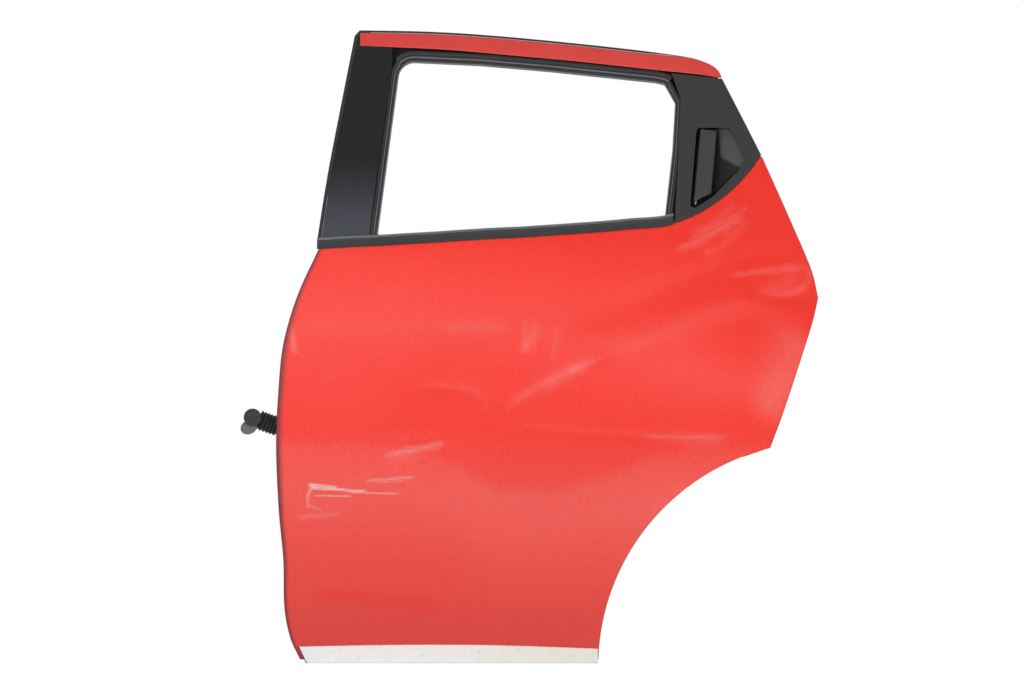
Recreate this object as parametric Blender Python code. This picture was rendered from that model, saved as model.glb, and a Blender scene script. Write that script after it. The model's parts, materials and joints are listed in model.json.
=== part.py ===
"""Rear left door of a small crossover car, a bare shell with its hinges, latch, handle and trims.

Metres. X runs towards the rear of the car, Y towards its inside and Z up. The origin is the
centre of the upper hinge's pad on the pillar. The door is built in a frame of its own, whose X
starts at the most forward point of the skin and whose Z starts at the lowest edge of the door.
"""

import math

import bmesh
import bpy
from mathutils import Vector, geometry

MM = 0.001
GAP = 0.3 * MM
OVERRUN = 5 * MM
MITRE_SHARE = 0.2

# Overall sizes of the door
DOOR_WIDTH = 976 * MM
DOOR_HEIGHT = 1141 * MM

# Outline of the door, as shares of its width and height
FRONT_EDGE_SHARES = (
    (0.0410, 0.0072), (0.0256, 0.0412), (0.0154, 0.0885), (0.0133, 0.1639), (0.0051, 0.2401),
    (0.0000, 0.3436), (0.0041, 0.4294), (0.0133, 0.5048), (0.0389, 0.5802), (0.0779, 0.6538),
)
BELT_SHARES = (
    (0.0779, 0.6538), (0.2213, 0.6617), (0.3900, 0.6740), (0.5758, 0.6810), (0.6639, 0.6862),
    (0.7234, 0.6924), (0.7818, 0.7117), (0.8412, 0.7476), (0.8965, 0.8002),
)
PILLAR_EDGE_SHARES = ((0.0738, 0.6591), (0.0943, 0.7695), (0.1199, 0.8834), (0.1455, 0.9939))
ROOF_EDGE_SHARES = (
    (0.1475, 1.0000), (0.2674, 0.9982), (0.3637, 0.9939), (0.4959, 0.9842), (0.6506, 0.9702),
    (0.7705, 0.9562), (0.8053, 0.9448),
)
QUARTER_EDGE_SHARES = ((0.8258, 0.9211), (0.8640, 0.8550), (0.8965, 0.8002))
REAR_UPPER_SHARES = ((0.8965, 0.8002), (0.9518, 0.6941), (0.9887, 0.6188), (1.0000, 0.5776))
REAR_LOWER_SHARES = ((1.0000, 0.5776), (0.9908, 0.5425), (0.9631, 0.4671), (0.9334, 0.3909))
ARCH_CENTRE_SHARE = (1.0090, -0.0041)
ARCH_RADIUS = 404.6 * MM
ARCH_END_DEGREES = 103.6

# Section of the body side: outward lean as a share of the lean, over shares of the height
SIDE_LEAN = 167 * MM
SIDE_SECTION_SHARES = (
    (-0.02, 0.285), (0.00, 0.255), (0.05, 0.176), (0.11, 0.100), (0.19, 0.042), (0.28, 0.012),
    (0.37, 0.000), (0.46, 0.003), (0.53, 0.018), (0.60, 0.051), (0.66, 0.102), (0.70, 0.168),
    (0.79, 0.371), (0.88, 0.605), (0.96, 0.874), (1.01, 1.055),
)
HAUNCH_DEPTH = 34 * MM
HAUNCH_PLACE_SHARE = (0.96, 0.41)
HAUNCH_SPREAD_SHARE = (0.27, 0.17)
CROWN_DEPTH = 6 * MM
CROWN_MIDDLE_SHARE = 0.46
ARCH_FLARE = 5 * MM
ARCH_FLARE_REACH = 30 * MM

# Outer skin
SKIN_THICKNESS = 0.8 * MM
SKIN_ROWS_FRONT = 22
SKIN_ROWS_ARCH = 9
SKIN_ROWS_REAR_LOWER = 7
SKIN_ROWS_REAR_UPPER = 6
SKIN_COLUMNS = 18
ARCH_STEP_POWER = 1.2
HEM_DEPTH = 4.2 * MM
HEM_LIP = 9 * MM
SKIN_TUCK = 4 * MM
BELT_RETURN = 9 * MM

# Inner panel
PANEL_THICKNESS = 0.9 * MM
PANEL_FLANGE_OFFSET = 2.75 * MM
PANEL_FLANGE_EDGE = 3.2 * MM
PANEL_COVER_OFFSET = 7 * MM
COVER_EDGE_GAP = 1.5 * MM
WALL_INSET = 25 * MM
FRAME_WALL_INSET = 17 * MM
PAN_DEPTH = 105 * MM
PAN_TAPER = 18 * MM
SILL_DEPTH = 52 * MM
FRAME_DEPTH = 44 * MM
PAN_LOW_SHARES = (0.035, 0.10)
PAN_HIGH_SHARES = (0.55, 0.645)
SEAL_INSET = 25 * MM
FRAME_SEAL_INSET = 10 * MM
WINDOW_SEAT = 8 * MM
WINDOW_LIP = 17 * MM
HOLE_RIM = 12 * MM
HOLE_STEP = 6 * MM
PANEL_GRID = 130 * MM
MAIN_HOLE_SHARES = ((0.315, 0.205), (0.590, 0.245), (0.690, 0.470), (0.660, 0.530), (0.315, 0.530))
MAIN_HOLE_RADIUS = 38 * MM
SPEAKER_SHARE = (0.195, 0.165)
SPEAKER_RADIUS = 72 * MM
SPEAKER_SIDES = 18
LATCH_HOLE_SHARES = ((0.775, 0.495), (0.855, 0.510), (0.870, 0.570), (0.785, 0.560))
LATCH_HOLE_RADIUS = 16 * MM
FRONT_HOLE_SHARES = ((0.135, 0.380), (0.225, 0.380), (0.225, 0.520), (0.155, 0.520))
FRONT_HOLE_RADIUS = 18 * MM

# Window opening as seen from outside
WINDOW_SHARES = (
    (0.1885, 0.6800), (0.3391, 0.6853), (0.5758, 0.6976), (0.7172, 0.7065), (0.7306, 0.8081),
    (0.7357, 0.8834), (0.7167, 0.9125), (0.6988, 0.9160), (0.5051, 0.9334), (0.3760, 0.9430),
    (0.2300, 0.9487),
)
WINDOW_RADII_SHARES = (0.012, 0, 0, 0.012, 0, 0.008, 0.008, 0, 0, 0, 0.029)
ROUND_STEPS = 3

# Hinges
PIN_RADIUS = 4 * MM
KNUCKLE_RADIUS = 7 * MM
LEAF_THICKNESS = 6 * MM
LEAF_GAP = 10 * MM
LEAF_WIDTH = 44 * MM
LEAF_START = 3 * MM
PIN_OFFSET = 14 * MM
PILLAR_LEAF_HEIGHT = 56 * MM
DOOR_LEAF_HEIGHT = 52 * MM
KNUCKLE_HEIGHT = 18 * MM
HINGE_BOLT_RADIUS = 4 * MM
HINGE_BOLT_SPACING = 28 * MM
HINGE_BOLT_OFFSET = 2 * MM
PILLAR_HOLE_SPACING = 34 * MM
PILLAR_HOLE_RADIUS = 4.5 * MM
PIN_HEAD_RADIUS = 6 * MM
PIN_HEAD_HEIGHT = 2.5 * MM
UPPER_HINGE_SHARE = 0.525
LOWER_HINGE_SHARE = 0.180
HINGE_PAD_SHARE = 0.0307
SKIN_TO_PIN = 26 * MM
REINFORCEMENT_THICKNESS = 2.5 * MM
HINGE_FLAT_EXTRA = 15 * MM
HINGE_FLAT_SHARE = 0.044
REINFORCEMENT_MARGIN = 8 * MM
WELD_NUT_RADIUS = 8 * MM
WELD_NUT_HEIGHT = 6 * MM
BOLT_FLANGE_RADIUS = 8 * MM
BOLT_FLANGE = 2 * MM
BOLT_HEAD_RADIUS = 7 * MM
BOLT_HEAD = 8 * MM

# Inner panel, how finely its outline is drawn
QUARTER_POINTS = 5
ROOF_POINTS = 11
PILLAR_POINTS = 7
PANEL_COVER_EDGE = 6 * MM
FRAME_BLEND_SHARE = 0.05
DRAIN_SHARES = (0.18, 0.33, 0.48)
DRAIN_LENGTH = 22 * MM
DRAIN_WIDTH = 7 * MM

# Check strap and its box
CHECK_SHARE = 0.262
CHECK_PIN_X = 9 * MM
CHECK_PIN_REACH = 50 * MM
CHECK_PIN_RADIUS = 3 * MM
CHECK_PIN_HEAD_RADIUS = 4.5 * MM
CHECK_EYE_RADIUS = 6 * MM
CHECK_PAD = 3 * MM
CHECK_PAD_WIDTH = 56 * MM
CHECK_PAD_HEIGHT = 34 * MM
CHECK_EAR = 3 * MM
CHECK_EAR_WIDTH = 16 * MM
CHECK_HOLE_SPACING = 38 * MM
CHECK_HOLE_RADIUS = 3.5 * MM
STRAP_HEIGHT = 18 * MM
STRAP_THICKNESS = 5 * MM
STRAP_LENGTH = 98 * MM
STRAP_HEAD = 9 * MM
STRAP_HEAD_WIDTH = 24 * MM
CHECK_SLOT_WIDTH = 21 * MM
CHECK_SLOT_HEIGHT = 18.8 * MM
CHECK_BOX_DEPTH = 15 * MM
CHECK_BOX_WIDTH = 36 * MM
CHECK_BOX_HEIGHT = 48 * MM
CHECK_SCREW_RADIUS = 3 * MM
CHECK_SCREW_MARGIN = 6.5 * MM
CHECK_SCREW_SPACING = CHECK_BOX_HEIGHT - 2 * CHECK_SCREW_MARGIN
CHECK_SCREW_HEAD = 5 * MM
CHECK_SCREW_HEAD_HEIGHT = 3.5 * MM

# Latch, in a frame of its own: X out through the rear wall, Y inwards, Z up the wall
LATCH_DROP = 15 * MM
LATCH_FROM_FACE = 50 * MM
LATCH_PLATE = 2 * MM
LATCH_WIDTH = 72 * MM
LATCH_LOW = -56 * MM
LATCH_HIGH = 46 * MM
LATCH_CORNER = 10 * MM
LATCH_CASE_WALL = 2.5 * MM
LATCH_CASE_DEPTH = 11 * MM
FORK_THICKNESS = 6.4 * MM
FORK_RADIUS = 30 * MM
FORK_DROP = 22 * MM
FORK_SLOT_WIDTH = 12 * MM
FORK_SLOT_DEPTH = 18 * MM
FORK_OPEN_DEGREES = 55
PAWL_RISE = 26 * MM
PAWL_BOSS = 9 * MM
PAWL_TIP_WIDTH = 10 * MM
PAWL_OFFSET = -10 * MM
PAWL_ARM = 15 * MM
FORK_HEEL = 12 * MM
LATCH_SCREW_BOSS = 5.5 * MM
RIVET_RADIUS = 4 * MM
RIVET_HEAD_RADIUS = 6 * MM
RIVET_HEAD = 1.5 * MM
MOUTH_HEIGHT = 18 * MM
MOUTH_DEPTH = 8 * MM
LATCH_SCREW_RADIUS = 3 * MM
LATCH_SCREW_HEAD = 6 * MM
LATCH_SCREW_HEAD_HEIGHT = 2 * MM
LATCH_SCREW_LENGTH = 8 * MM
LATCH_SCREW_PLACES = ((-26 * MM, 30 * MM), (26 * MM, 30 * MM), (-28 * MM, -48 * MM))

# Side intrusion beam
BEAM_RADIUS = 15 * MM
BEAM_WALL = 2 * MM
BEAM_FROM_SKIN = 27 * MM
BEAM_FRONT_SHARE = 0.305
BEAM_PLATE = 2 * MM
BEAM_PLATE_MARGIN = 14 * MM
BEAM_CLEARANCE = 2.6 * MM
BEAM_REAR_CLEARANCE = 6.9 * MM
BEAM_BELOW_LATCH = 76 * MM
BEAM_REAR_FROM_SKIN = 44 * MM

# Belt reinforcement behind the skin
BELT_BAR_SHARES = (0.150, 0.700)
BELT_BAR_THICKNESS = 1 * MM
BELT_BAR_HEIGHT = 52 * MM
BELT_BAR_DROP = 3 * MM
BELT_BAR_DEPTH = 12 * MM
BELT_BAR_FROM_SKIN = 2.3 * MM
BELT_BAR_SLOPE = 9 * MM
BELT_BAR_STATIONS = 10

# Belt moulding, its section given as (depth from the skin, height over the belt line)
MOULDING_SHARES = (0.0800, 0.7330)
MOULDING_HEIGHT = 18 * MM
MOULDING_PROUD = 3 * MM
MOULDING_WALL = 2.2 * MM
MOULDING_LIP = 3.5 * MM
WIPER_REACH = 5 * MM

# Roof rail and the seals round it
RAIL_LINE_SHARES = (
    (0.1510, 0.9755), (0.3094, 0.9693), (0.4283, 0.9606), (0.5574, 0.9504), (0.6937, 0.9378),
    (0.7818, 0.9298), (0.8165, 0.9263),
)
RAIL_END_SHARES = ((0.8186, 0.9320),)
RAIL_STATIONS = 14
RAIL_THICKNESS = 0.8 * MM
RAIL_CROWN = 1.0 * MM
ROOF_SEAL_WIDTH = 3.2 * MM
ROOF_SEAL_DEPTH = 5 * MM
ROOF_SEAL_PROUD = 0.8 * MM

# B-pillar cover and seal band
COVER_THICKNESS = 2.2 * MM
COVER_PROUD = 2.6 * MM
PILLAR_SEAL_WIDTH = 7 * MM
PILLAR_SEAL_DEPTH = 5 * MM
PILLAR_SEAL_SHARES = (0.06, 0.96)
PILLAR_STATIONS = 6
PILLAR_COVER_COLUMNS = 4
PILLAR_COVER_CROWN = 1.2 * MM
PILLAR_COVER_SHARES = (0.668, 0.975)

# Glass run seal round the window
RUN_FRONT_WIDTH = 14 * MM
RUN_TOP_WIDTH = 22 * MM
RUN_REAR_WIDTH = 8 * MM
RUN_FACE = 4 * MM
RUN_RIB = 1.2 * MM
RUN_DEPTH = 26 * MM
RUN_GROOVE = (11 * MM, 18 * MM)
RUN_GROOVE_SHARE = 0.6
RUN_REAR_SHARE = 0.64
RUN_TOP_SHARE = 0.945
WINDOW_REAR_SHARE = 0.70

# Quarter cover and door handle
QUARTER_SHARES = (
    (0.8950, 0.8028), (0.8640, 0.8550), (0.8258, 0.9170), (0.8180, 0.9225), (0.7335, 0.9315),
    (0.7475, 0.8861), (0.7430, 0.8107),
)
QUARTER_START_SHARE = 0.7345
QUARTER_BELT_POINTS = 60
QUARTER_GRID = 45 * MM
HANDLE_SHARES = (
    (0.7726, 0.7195), (0.8074, 0.7388), (0.8279, 0.7572), (0.8514, 0.7774), (0.8617, 0.7897),
    (0.8627, 0.7975), (0.8432, 0.8370), (0.8340, 0.8457), (0.7787, 0.8457), (0.7756, 0.8405),
    (0.7643, 0.7230),
)
BOWL_THICKNESS = 1.8 * MM
BOWL_RIM = 6 * MM
BOWL_RIM_OFFSET = 2.6 * MM
BOWL_DEEP = 29 * MM
BOWL_SHALLOW = 9 * MM
BOWL_DRAFT = 2.5 * MM
BOWL_GRID = 25 * MM
BOWL_FLAT_SHARE = 0.25
PADDLE_SHARES = ((0.7700, 0.7290), (0.8030, 0.7430), (0.8130, 0.8410), (0.7825, 0.8435))
PADDLE_STATIONS = 7
PADDLE_PROUD = 2.5 * MM
PADDLE_DEPTH = 9 * MM
PADDLE_EDGE = 4 * MM
PADDLE_PIVOT_INSET = 4 * MM
PADDLE_PIVOT_DEPTH = 4 * MM
HANDLE_PIN_RADIUS = 1.8 * MM
HANDLE_PIN_OVER = 5.5 * MM
HANDLE_ARM_SHARE = 0.45
HANDLE_ARM_WIDTH = 6 * MM
HANDLE_ARM_HEIGHT = 8 * MM
HANDLE_ARM_REACH = 34 * MM
HANDLE_OPEN_DEGREES = 26
ARM_SLOT_MARGIN = 2 * MM
SPRING_SHARE = 0.22
SPRING_TURNS = 4
SPRING_STEPS = 8
SPRING_WIRE = 0.6 * MM
SPRING_RADIUS = 3.1 * MM
SPRING_PITCH = 1.9 * MM
SPRING_ROOM = 1.5 * MM

# Release cable, its route as shares of the door's width and height and a depth from the inner face
CABLE_RADIUS = 3 * MM
CABLE_ROUTE = (
    (0.8000, 0.8000, 5 * MM), (0.8160, 0.7900, 8 * MM), (0.8350, 0.7500, 14 * MM),
    (0.8520, 0.6800, 20 * MM), (0.8700, 0.6100, 26 * MM), (0.8850, 0.5500, 34 * MM),
)
CABLE_POINTS = 16
CLIP_PLACE_SHARES = (0.20, 0.50)
CLIP_LENGTH = 7 * MM
CLIP_RADIUS = 5 * MM
CLIP_SEAT_GAP = 0.9 * MM

# Sill moulding, its section given as (depth from the skin, height)
SILL_SHARES = (0.0420, 0.5935)
SILL_STATIONS = 12
SILL_TOP_SHARES = (
    (0.04, 0.0272), (0.15, 0.0292), (0.28, 0.0305), (0.40, 0.0298), (0.50, 0.0272), (0.60, 0.0240),
)
SILL_LOW = 1.5 * MM
SILL_WALL = 2.5 * MM
SILL_LIP = 11 * MM
SILL_SLANT = -12 * MM

# Wiring boot and its connector
BOOT_ROUTE = (
    (0.0575, 0.3705, -6 * MM), (0.0300, 0.3720, -7 * MM), (0.0060, 0.3745, -10 * MM),
    (-0.0100, 0.3785, -14 * MM), (-0.0215, 0.3820, -17 * MM),
)
BOOT_RINGS = 20
BOOT_RADII = (13.5 * MM, 17 * MM)
BOOT_NECK = 11 * MM
BOOT_NECK_SHARES = (0.30, 0.45)
BOOT_SIDES = 14
GROMMET_RADIUS = 22 * MM
GROMMET_THICKNESS = 3 * MM
BOOT_HOLE_RADIUS = 17 * MM
BOOT_PLUG_DEPTH = 8 * MM
CAP_RADIUS = 16 * MM
CAP_SHARE = (-0.0433, 0.3890)
CAP_YS = (-34 * MM, -5 * MM)
CAP_CHAMFER = 2.5 * MM
CAP_NECK_RADIUS = 12 * MM
CONNECTOR_SHARE = (-0.0502, 0.3707)
CONNECTOR_YS = (-29 * MM, -9 * MM)
CONNECTOR_WIDTH = 30 * MM
CONNECTOR_HEIGHT = 18 * MM
CONNECTOR_TILT_DEGREES = 28

# Seals and plugs of the inner side
WEATHERSTRIP_WIDTH = 12 * MM
WEATHERSTRIP_HEIGHT = 13 * MM
INNER_SEAL_SHARES = (0.235, 0.680)
INNER_SEAL_STATIONS = 9
INNER_SEAL_HEIGHT = 5 * MM
INNER_SEAL_WIPER = 3 * MM
PLUG_SHARES = ((0.300, 0.150), (0.480, 0.170))
PLUG_RADIUS = 12 * MM
PLUG_NECK = 9 * MM
PLUG_HEIGHT = 2 * MM

# Places that follow from the hinges
PIN_X = LEAF_THICKNESS + LEAF_GAP / 2
PIN_Y = -LEAF_WIDTH / 2 - PIN_OFFSET
WALL_X = 2 * LEAF_THICKNESS + LEAF_GAP + GAP
SKIN_FAR_Y = PIN_Y - SKIN_TO_PIN
PAD_X = HINGE_PAD_SHARE * DOOR_WIDTH
UPPER_HINGE_Z = UPPER_HINGE_SHARE * DOOR_HEIGHT
LOWER_HINGE_Z = LOWER_HINGE_SHARE * DOOR_HEIGHT
HINGE_WALL_X = PAD_X + WALL_X


# Curves and surfaces


def smooth_value(knots, values, at):
    """Cubic curve through the values, its slopes taken from the neighbours on both sides."""
    last = len(knots) - 1
    i = next((k for k in range(last) if at <= knots[k + 1]), last - 1)
    slopes = []
    for k in (i, i + 1):
        before, after = max(k - 1, 0), min(k + 1, last)
        slopes.append((values[after] - values[before]) / (knots[after] - knots[before]))
    span = knots[i + 1] - knots[i]
    t = (at - knots[i]) / span
    start = values[i] * (1 + 2 * t) * (1 - t) ** 2 + slopes[0] * span * t * (1 - t) ** 2
    return start + values[i + 1] * t * t * (3 - 2 * t) + slopes[1] * span * t * t * (t - 1)


def smooth_path(points, count):
    """Points spaced evenly along a smooth curve through the given ones."""
    knots = [0.0]
    for a, b in zip(points, points[1:]):
        knots.append(knots[-1] + math.dist(a, b))
    axes = list(zip(*points))
    steps = (knots[-1] * i / count for i in range(count + 1))
    return [tuple(smooth_value(knots, axis, at) for axis in axes) for at in steps]


def on_door(shares):
    """Door coordinates of points given as shares of its width and height."""
    return [(x * DOOR_WIDTH, z * DOOR_HEIGHT) for x, z in shares]


def blend(low, high, at):
    """0 below low, 1 above high, and smooth between."""
    t = min(max((at - low) / (high - low), 0.0), 1.0)
    return t * t * (3 - 2 * t)


def arch_centre():
    """Centre of the wheel arch, in door coordinates."""
    return on_door([ARCH_CENTRE_SHARE])[0]


def side_y(x, z):
    """Y of the outer surface of the body side."""
    knots = [share for share, _ in SIDE_SECTION_SHARES]
    leans = [share * SIDE_LEAN for _, share in SIDE_SECTION_SHARES]
    y = SKIN_FAR_Y + smooth_value(knots, leans, z / DOOR_HEIGHT)
    across = (x / DOOR_WIDTH - HAUNCH_PLACE_SHARE[0]) / HAUNCH_SPREAD_SHARE[0]
    up = (z / DOOR_HEIGHT - HAUNCH_PLACE_SHARE[1]) / HAUNCH_SPREAD_SHARE[1]
    y -= HAUNCH_DEPTH * math.exp(-across * across - up * up)
    y += CROWN_DEPTH * ((x / DOOR_WIDTH - CROWN_MIDDLE_SHARE) * 2) ** 2
    from_arch = max(math.dist((x, z), arch_centre()) - ARCH_RADIUS, 0.0)
    return y - ARCH_FLARE * math.exp(-from_arch / ARCH_FLARE_REACH)


def inner_y(x, z):
    """Y of the inner panel's face towards the cabin."""
    skin = side_y(x, z)
    pan = SKIN_FAR_Y + PAN_DEPTH - PAN_TAPER * x / DOOR_WIDTH
    up = z / DOOR_HEIGHT
    high = blend(PAN_HIGH_SHARES[0], PAN_HIGH_SHARES[1], up)
    low = blend(PAN_LOW_SHARES[0], PAN_LOW_SHARES[1], up)
    y = pan + (skin + FRAME_DEPTH - pan) * high
    return skin + SILL_DEPTH + (y - skin - SILL_DEPTH) * low


def front_edge():
    """Front edge of the skin, from the bottom up."""
    return smooth_path(on_door(FRONT_EDGE_SHARES), SKIN_ROWS_FRONT)


def arch_edge():
    """Wheel arch edge, from the bottom of the door up."""
    centre = arch_centre()
    low = on_door(FRONT_EDGE_SHARES)[0][1] - centre[1]
    start = math.pi - math.asin(low / ARCH_RADIUS)
    end = math.radians(ARCH_END_DEGREES)
    shares = ((i / SKIN_ROWS_ARCH) ** ARCH_STEP_POWER for i in range(SKIN_ROWS_ARCH + 1))
    turns = (start + (end - start) * share for share in shares)
    return [(centre[0] + ARCH_RADIUS * math.cos(a), centre[1] + ARCH_RADIUS * math.sin(a)) for a in turns]


def rear_lower_edge():
    """Rear edge from the top of the wheel arch to the point of the haunch."""
    points = [arch_edge()[-1]] + on_door(REAR_LOWER_SHARES)[::-1]
    return smooth_path(points, SKIN_ROWS_REAR_LOWER)


def rear_upper_edge():
    """Rear edge from the point of the haunch to the corner of the skin."""
    return smooth_path(on_door(REAR_UPPER_SHARES)[::-1], SKIN_ROWS_REAR_UPPER)


def rear_edge():
    """The whole rear edge of the skin, from the bottom up."""
    return arch_edge() + rear_lower_edge()[1:] + rear_upper_edge()[1:]


def bottom_edge():
    """Bottom edge of the skin, from front to rear."""
    start, end = on_door(FRONT_EDGE_SHARES)[0], arch_edge()[0]
    shares = (i / SKIN_COLUMNS for i in range(SKIN_COLUMNS + 1))
    return [(start[0] + (end[0] - start[0]) * s, start[1] + (end[1] - start[1]) * s) for s in shares]


def belt_line(count=SKIN_COLUMNS):
    """Line where the red skin meets the black trims, from front to rear."""
    return smooth_path(on_door(BELT_SHARES), count)


def mitres(loop):
    """For each point of a counter-clockwise loop, the step that moves its edges in by one unit."""
    found = []
    for i, point in enumerate(loop):
        normals = []
        for a, b in ((loop[i - 1], point), (point, loop[(i + 1) % len(loop)])):
            length = math.dist(a, b)
            normals.append(((a[1] - b[1]) / length, (b[0] - a[0]) / length))
        (ax, az), (bx, bz) = normals
        grow = 1 / max(1 + ax * bx + az * bz, MITRE_SHARE)
        found.append(((ax + bx) * grow, (az + bz) * grow))
    return found


def inset(loop, distances):
    """The loop with each point moved in by its distance; one distance serves them all."""
    if not isinstance(distances, (list, tuple)):
        distances = [distances] * len(loop)
    steps = zip(loop, mitres(loop), distances)
    return [(x + mx * d, z + mz * d) for (x, z), (mx, mz), d in steps]


def rounded(points, radii):
    """The polygon with corners of the given radii rounded by short arcs."""
    out = []
    for i, (point, radius) in enumerate(zip(points, radii)):
        if not radius:
            out.append(point)
            continue
        corner = Vector(point)
        back = (Vector(points[i - 1]) - corner).normalized()
        ahead = (Vector(points[(i + 1) % len(points)]) - corner).normalized()
        half = back.angle(ahead) / 2
        centre = corner + (back + ahead).normalized() * radius / math.sin(half)
        reach = radius / math.tan(half)
        start, end = corner + back * reach - centre, corner + ahead * reach - centre
        first = math.atan2(start.y, start.x)
        sweep = (math.atan2(end.y, end.x) - first + math.pi) % (2 * math.pi) - math.pi
        for k in range(ROUND_STEPS + 1):
            angle = first + sweep * k / ROUND_STEPS
            out.append((centre.x + radius * math.cos(angle), centre.y + radius * math.sin(angle)))
    return out


def circle(centre, radius, sides):
    """Points of a circle, counter-clockwise."""
    turns = (2 * math.pi * i / sides for i in range(sides))
    return [(centre[0] + radius * math.cos(a), centre[1] + radius * math.sin(a)) for a in turns]


def inside(loop, point):
    """Whether the point lies inside the loop."""
    x, z = point
    found = False
    for (ax, az), (bx, bz) in zip(loop, loop[1:] + loop[:1]):
        if (az > z) != (bz > z) and x < ax + (bx - ax) * (z - az) / (bz - az):
            found = not found
    return found


# Shapes, as a list of points and a list of faces


def box(xs, ys, zs):
    """A box between two values on each axis."""
    return prism([(xs[0], ys[0]), (xs[1], ys[0]), (xs[1], ys[1]), (xs[0], ys[1])], "Z", *zs)


def along(axis, u, v, w):
    """The point with w on the named axis and u and v on the two that follow it."""
    return {"X": (w, u, v), "Y": (v, w, u), "Z": (u, v, w)}[axis]


def prism(outline, axis, low, high):
    """An outline extruded along an axis; it is given on the two axes that follow, counter-clockwise."""
    count = len(outline)
    points = [along(axis, u, v, low) for u, v in outline] + [along(axis, u, v, high) for u, v in outline]
    faces = [tuple(range(count))[::-1], tuple(range(count, 2 * count))]
    faces += [(i, (i + 1) % count, (i + 1) % count + count, i + count) for i in range(count)]
    return points, faces


def rod(axis, centre, radius, low, high, sides=12):
    """A round bar along an axis; its centre is given on the two axes that follow."""
    return prism(circle(centre, radius, sides), axis, low, high)


def turned(axis, centre, profile, sides=12):
    """A profile of (height, radius) pairs turned round an axis, its first and last rings capped."""
    rings = [[along(axis, u, v, w) for u, v in circle(centre, r, sides)] for w, r in profile]
    return loft(rings)


def loft(rings, closed=False):
    """Skin over rings of equal size; an open one has its two ends capped."""
    size = len(rings[0])
    points = [point for ring in rings for point in ring]
    pairs = [(i, i + 1) for i in range(len(rings) - 1)] + ([(len(rings) - 1, 0)] if closed else [])
    faces = []
    for a, b in pairs:
        for k in range(size):
            n = (k + 1) % size
            faces.append((a * size + k, a * size + n, b * size + n, b * size + k))
    if not closed:
        faces += [tuple(range(size))[::-1], tuple(range(len(points) - size, len(points)))]
    return points, faces


def strip(rows):
    """An open sheet over rows of equal size."""
    size = len(rows[0])
    points = [point for row in rows for point in row]
    faces = []
    for a in range(len(rows) - 1):
        for k in range(size - 1):
            low = a * size + k
            faces.append((low, low + 1, low + size + 1, low + size))
    return points, faces


def together(*shapes):
    """Several shapes as one list of points and faces."""
    points, faces = [], []
    for more_points, more_faces in shapes:
        start = len(points)
        points += more_points
        faces += [tuple(start + i for i in face) for face in more_faces]
    return points, faces


# Objects


def srgb_to_linear(value):
    """One sRGB channel of 0 to 1 as linear light."""
    return value / 12.92 if value <= 0.04045 else ((value + 0.055) / 1.055) ** 2.4


def material(name, colour, roughness, metallic=0.0):
    """A Principled material of an sRGB hex colour, made once."""
    if name in bpy.data.materials:
        return bpy.data.materials[name]
    made = bpy.data.materials.new(name)
    made.use_nodes = True
    shader = made.node_tree.nodes["Principled BSDF"]
    channels = [srgb_to_linear(int(colour[i : i + 2], 16) / 255) for i in (1, 3, 5)]
    shader.inputs["Base Color"].default_value = (*channels, 1)
    shader.inputs["Roughness"].default_value = roughness
    shader.inputs["Metallic"].default_value = metallic
    made.diffuse_color = (*channels, 1)
    return made


def red_paint():
    return material("red_paint", "#e8463c", 0.35)


def gloss_black():
    return material("gloss_black", "#26282a", 0.18)


def textured_black():
    return material("textured_black", "#434345", 0.6)


def soft_black():
    return material("black_rubber", "#2c2c2e", 0.8)


def white_plastic():
    return material("white_plastic", "#e9e7df", 0.5)


def plated_steel():
    return material("plated_steel", "#a9a69c", 0.4, 1.0)


def dark_steel():
    return material("dark_steel", "#55534f", 0.5, 1.0)


def black_plastic():
    return material("black_plastic", "#2a2a2b", 0.55)


def mesh_object(name, shape, parent):
    """An object with the shape's mesh, its normals facing outwards, under its parent."""
    mesh = bpy.data.meshes.new(name)
    mesh.from_pydata(shape[0], [], shape[1])
    edit = bmesh.new()
    edit.from_mesh(mesh)
    bmesh.ops.remove_doubles(edit, verts=edit.verts, dist=GAP / 100)
    bmesh.ops.recalc_face_normals(edit, faces=edit.faces)
    edit.to_mesh(mesh)
    edit.free()
    made = bpy.data.objects.new(name, mesh)
    bpy.context.scene.collection.objects.link(made)
    made.parent = parent
    return made


def helper(target, name, shape, parent, operation):
    """A hidden object that is cut from the target or joined to it."""
    tool = mesh_object(name, shape, parent)
    tool.hide_render = True
    tool.display_type = "WIRE"
    change = target.modifiers.new(name, "BOOLEAN")
    change.operation = operation
    change.solver = "EXACT"
    change.object = tool


def solid(name, shape, finish, parent, joins=(), cuts=(), smooth=False):
    """A closed piece: its shape, with other shapes joined to it and cut from it."""
    made = mesh_object(name, shape, parent)
    for i, other in enumerate(joins):
        helper(made, f"{name}_join_{i}", other, parent, "UNION")
    for i, other in enumerate(cuts):
        helper(made, f"{name}_cut_{i}", other, parent, "DIFFERENCE")
    made.data.materials.append(finish)
    if smooth:
        shade_round(made)
    return made


def shade_round(made):
    """Smooth shading with edges kept where faces meet at a sharp angle."""
    made.data.shade_smooth()
    made.data.set_sharp_from_angle(angle=math.radians(35))


def sheet(name, shape, outward, thickness, finish, parent, cuts=()):
    """A folded sheet: an open surface that gets its thickness away from the outward side."""
    made = mesh_object(name, shape, parent)
    first = made.data.polygons[0]
    if first.normal.dot(Vector(outward)) < 0:
        made.data.flip_normals()
    made.data.materials.append(finish)
    thick = made.modifiers.new("thickness", "SOLIDIFY")
    thick.thickness = thickness
    thick.offset = -1
    thick.solidify_mode = "NON_MANIFOLD"
    thick.nonmanifold_thickness_mode = "CONSTRAINTS"
    for i, other in enumerate(cuts):
        helper(made, f"{name}_cut_{i}", other, parent, "DIFFERENCE")
    shade_round(made)
    return made


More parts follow.
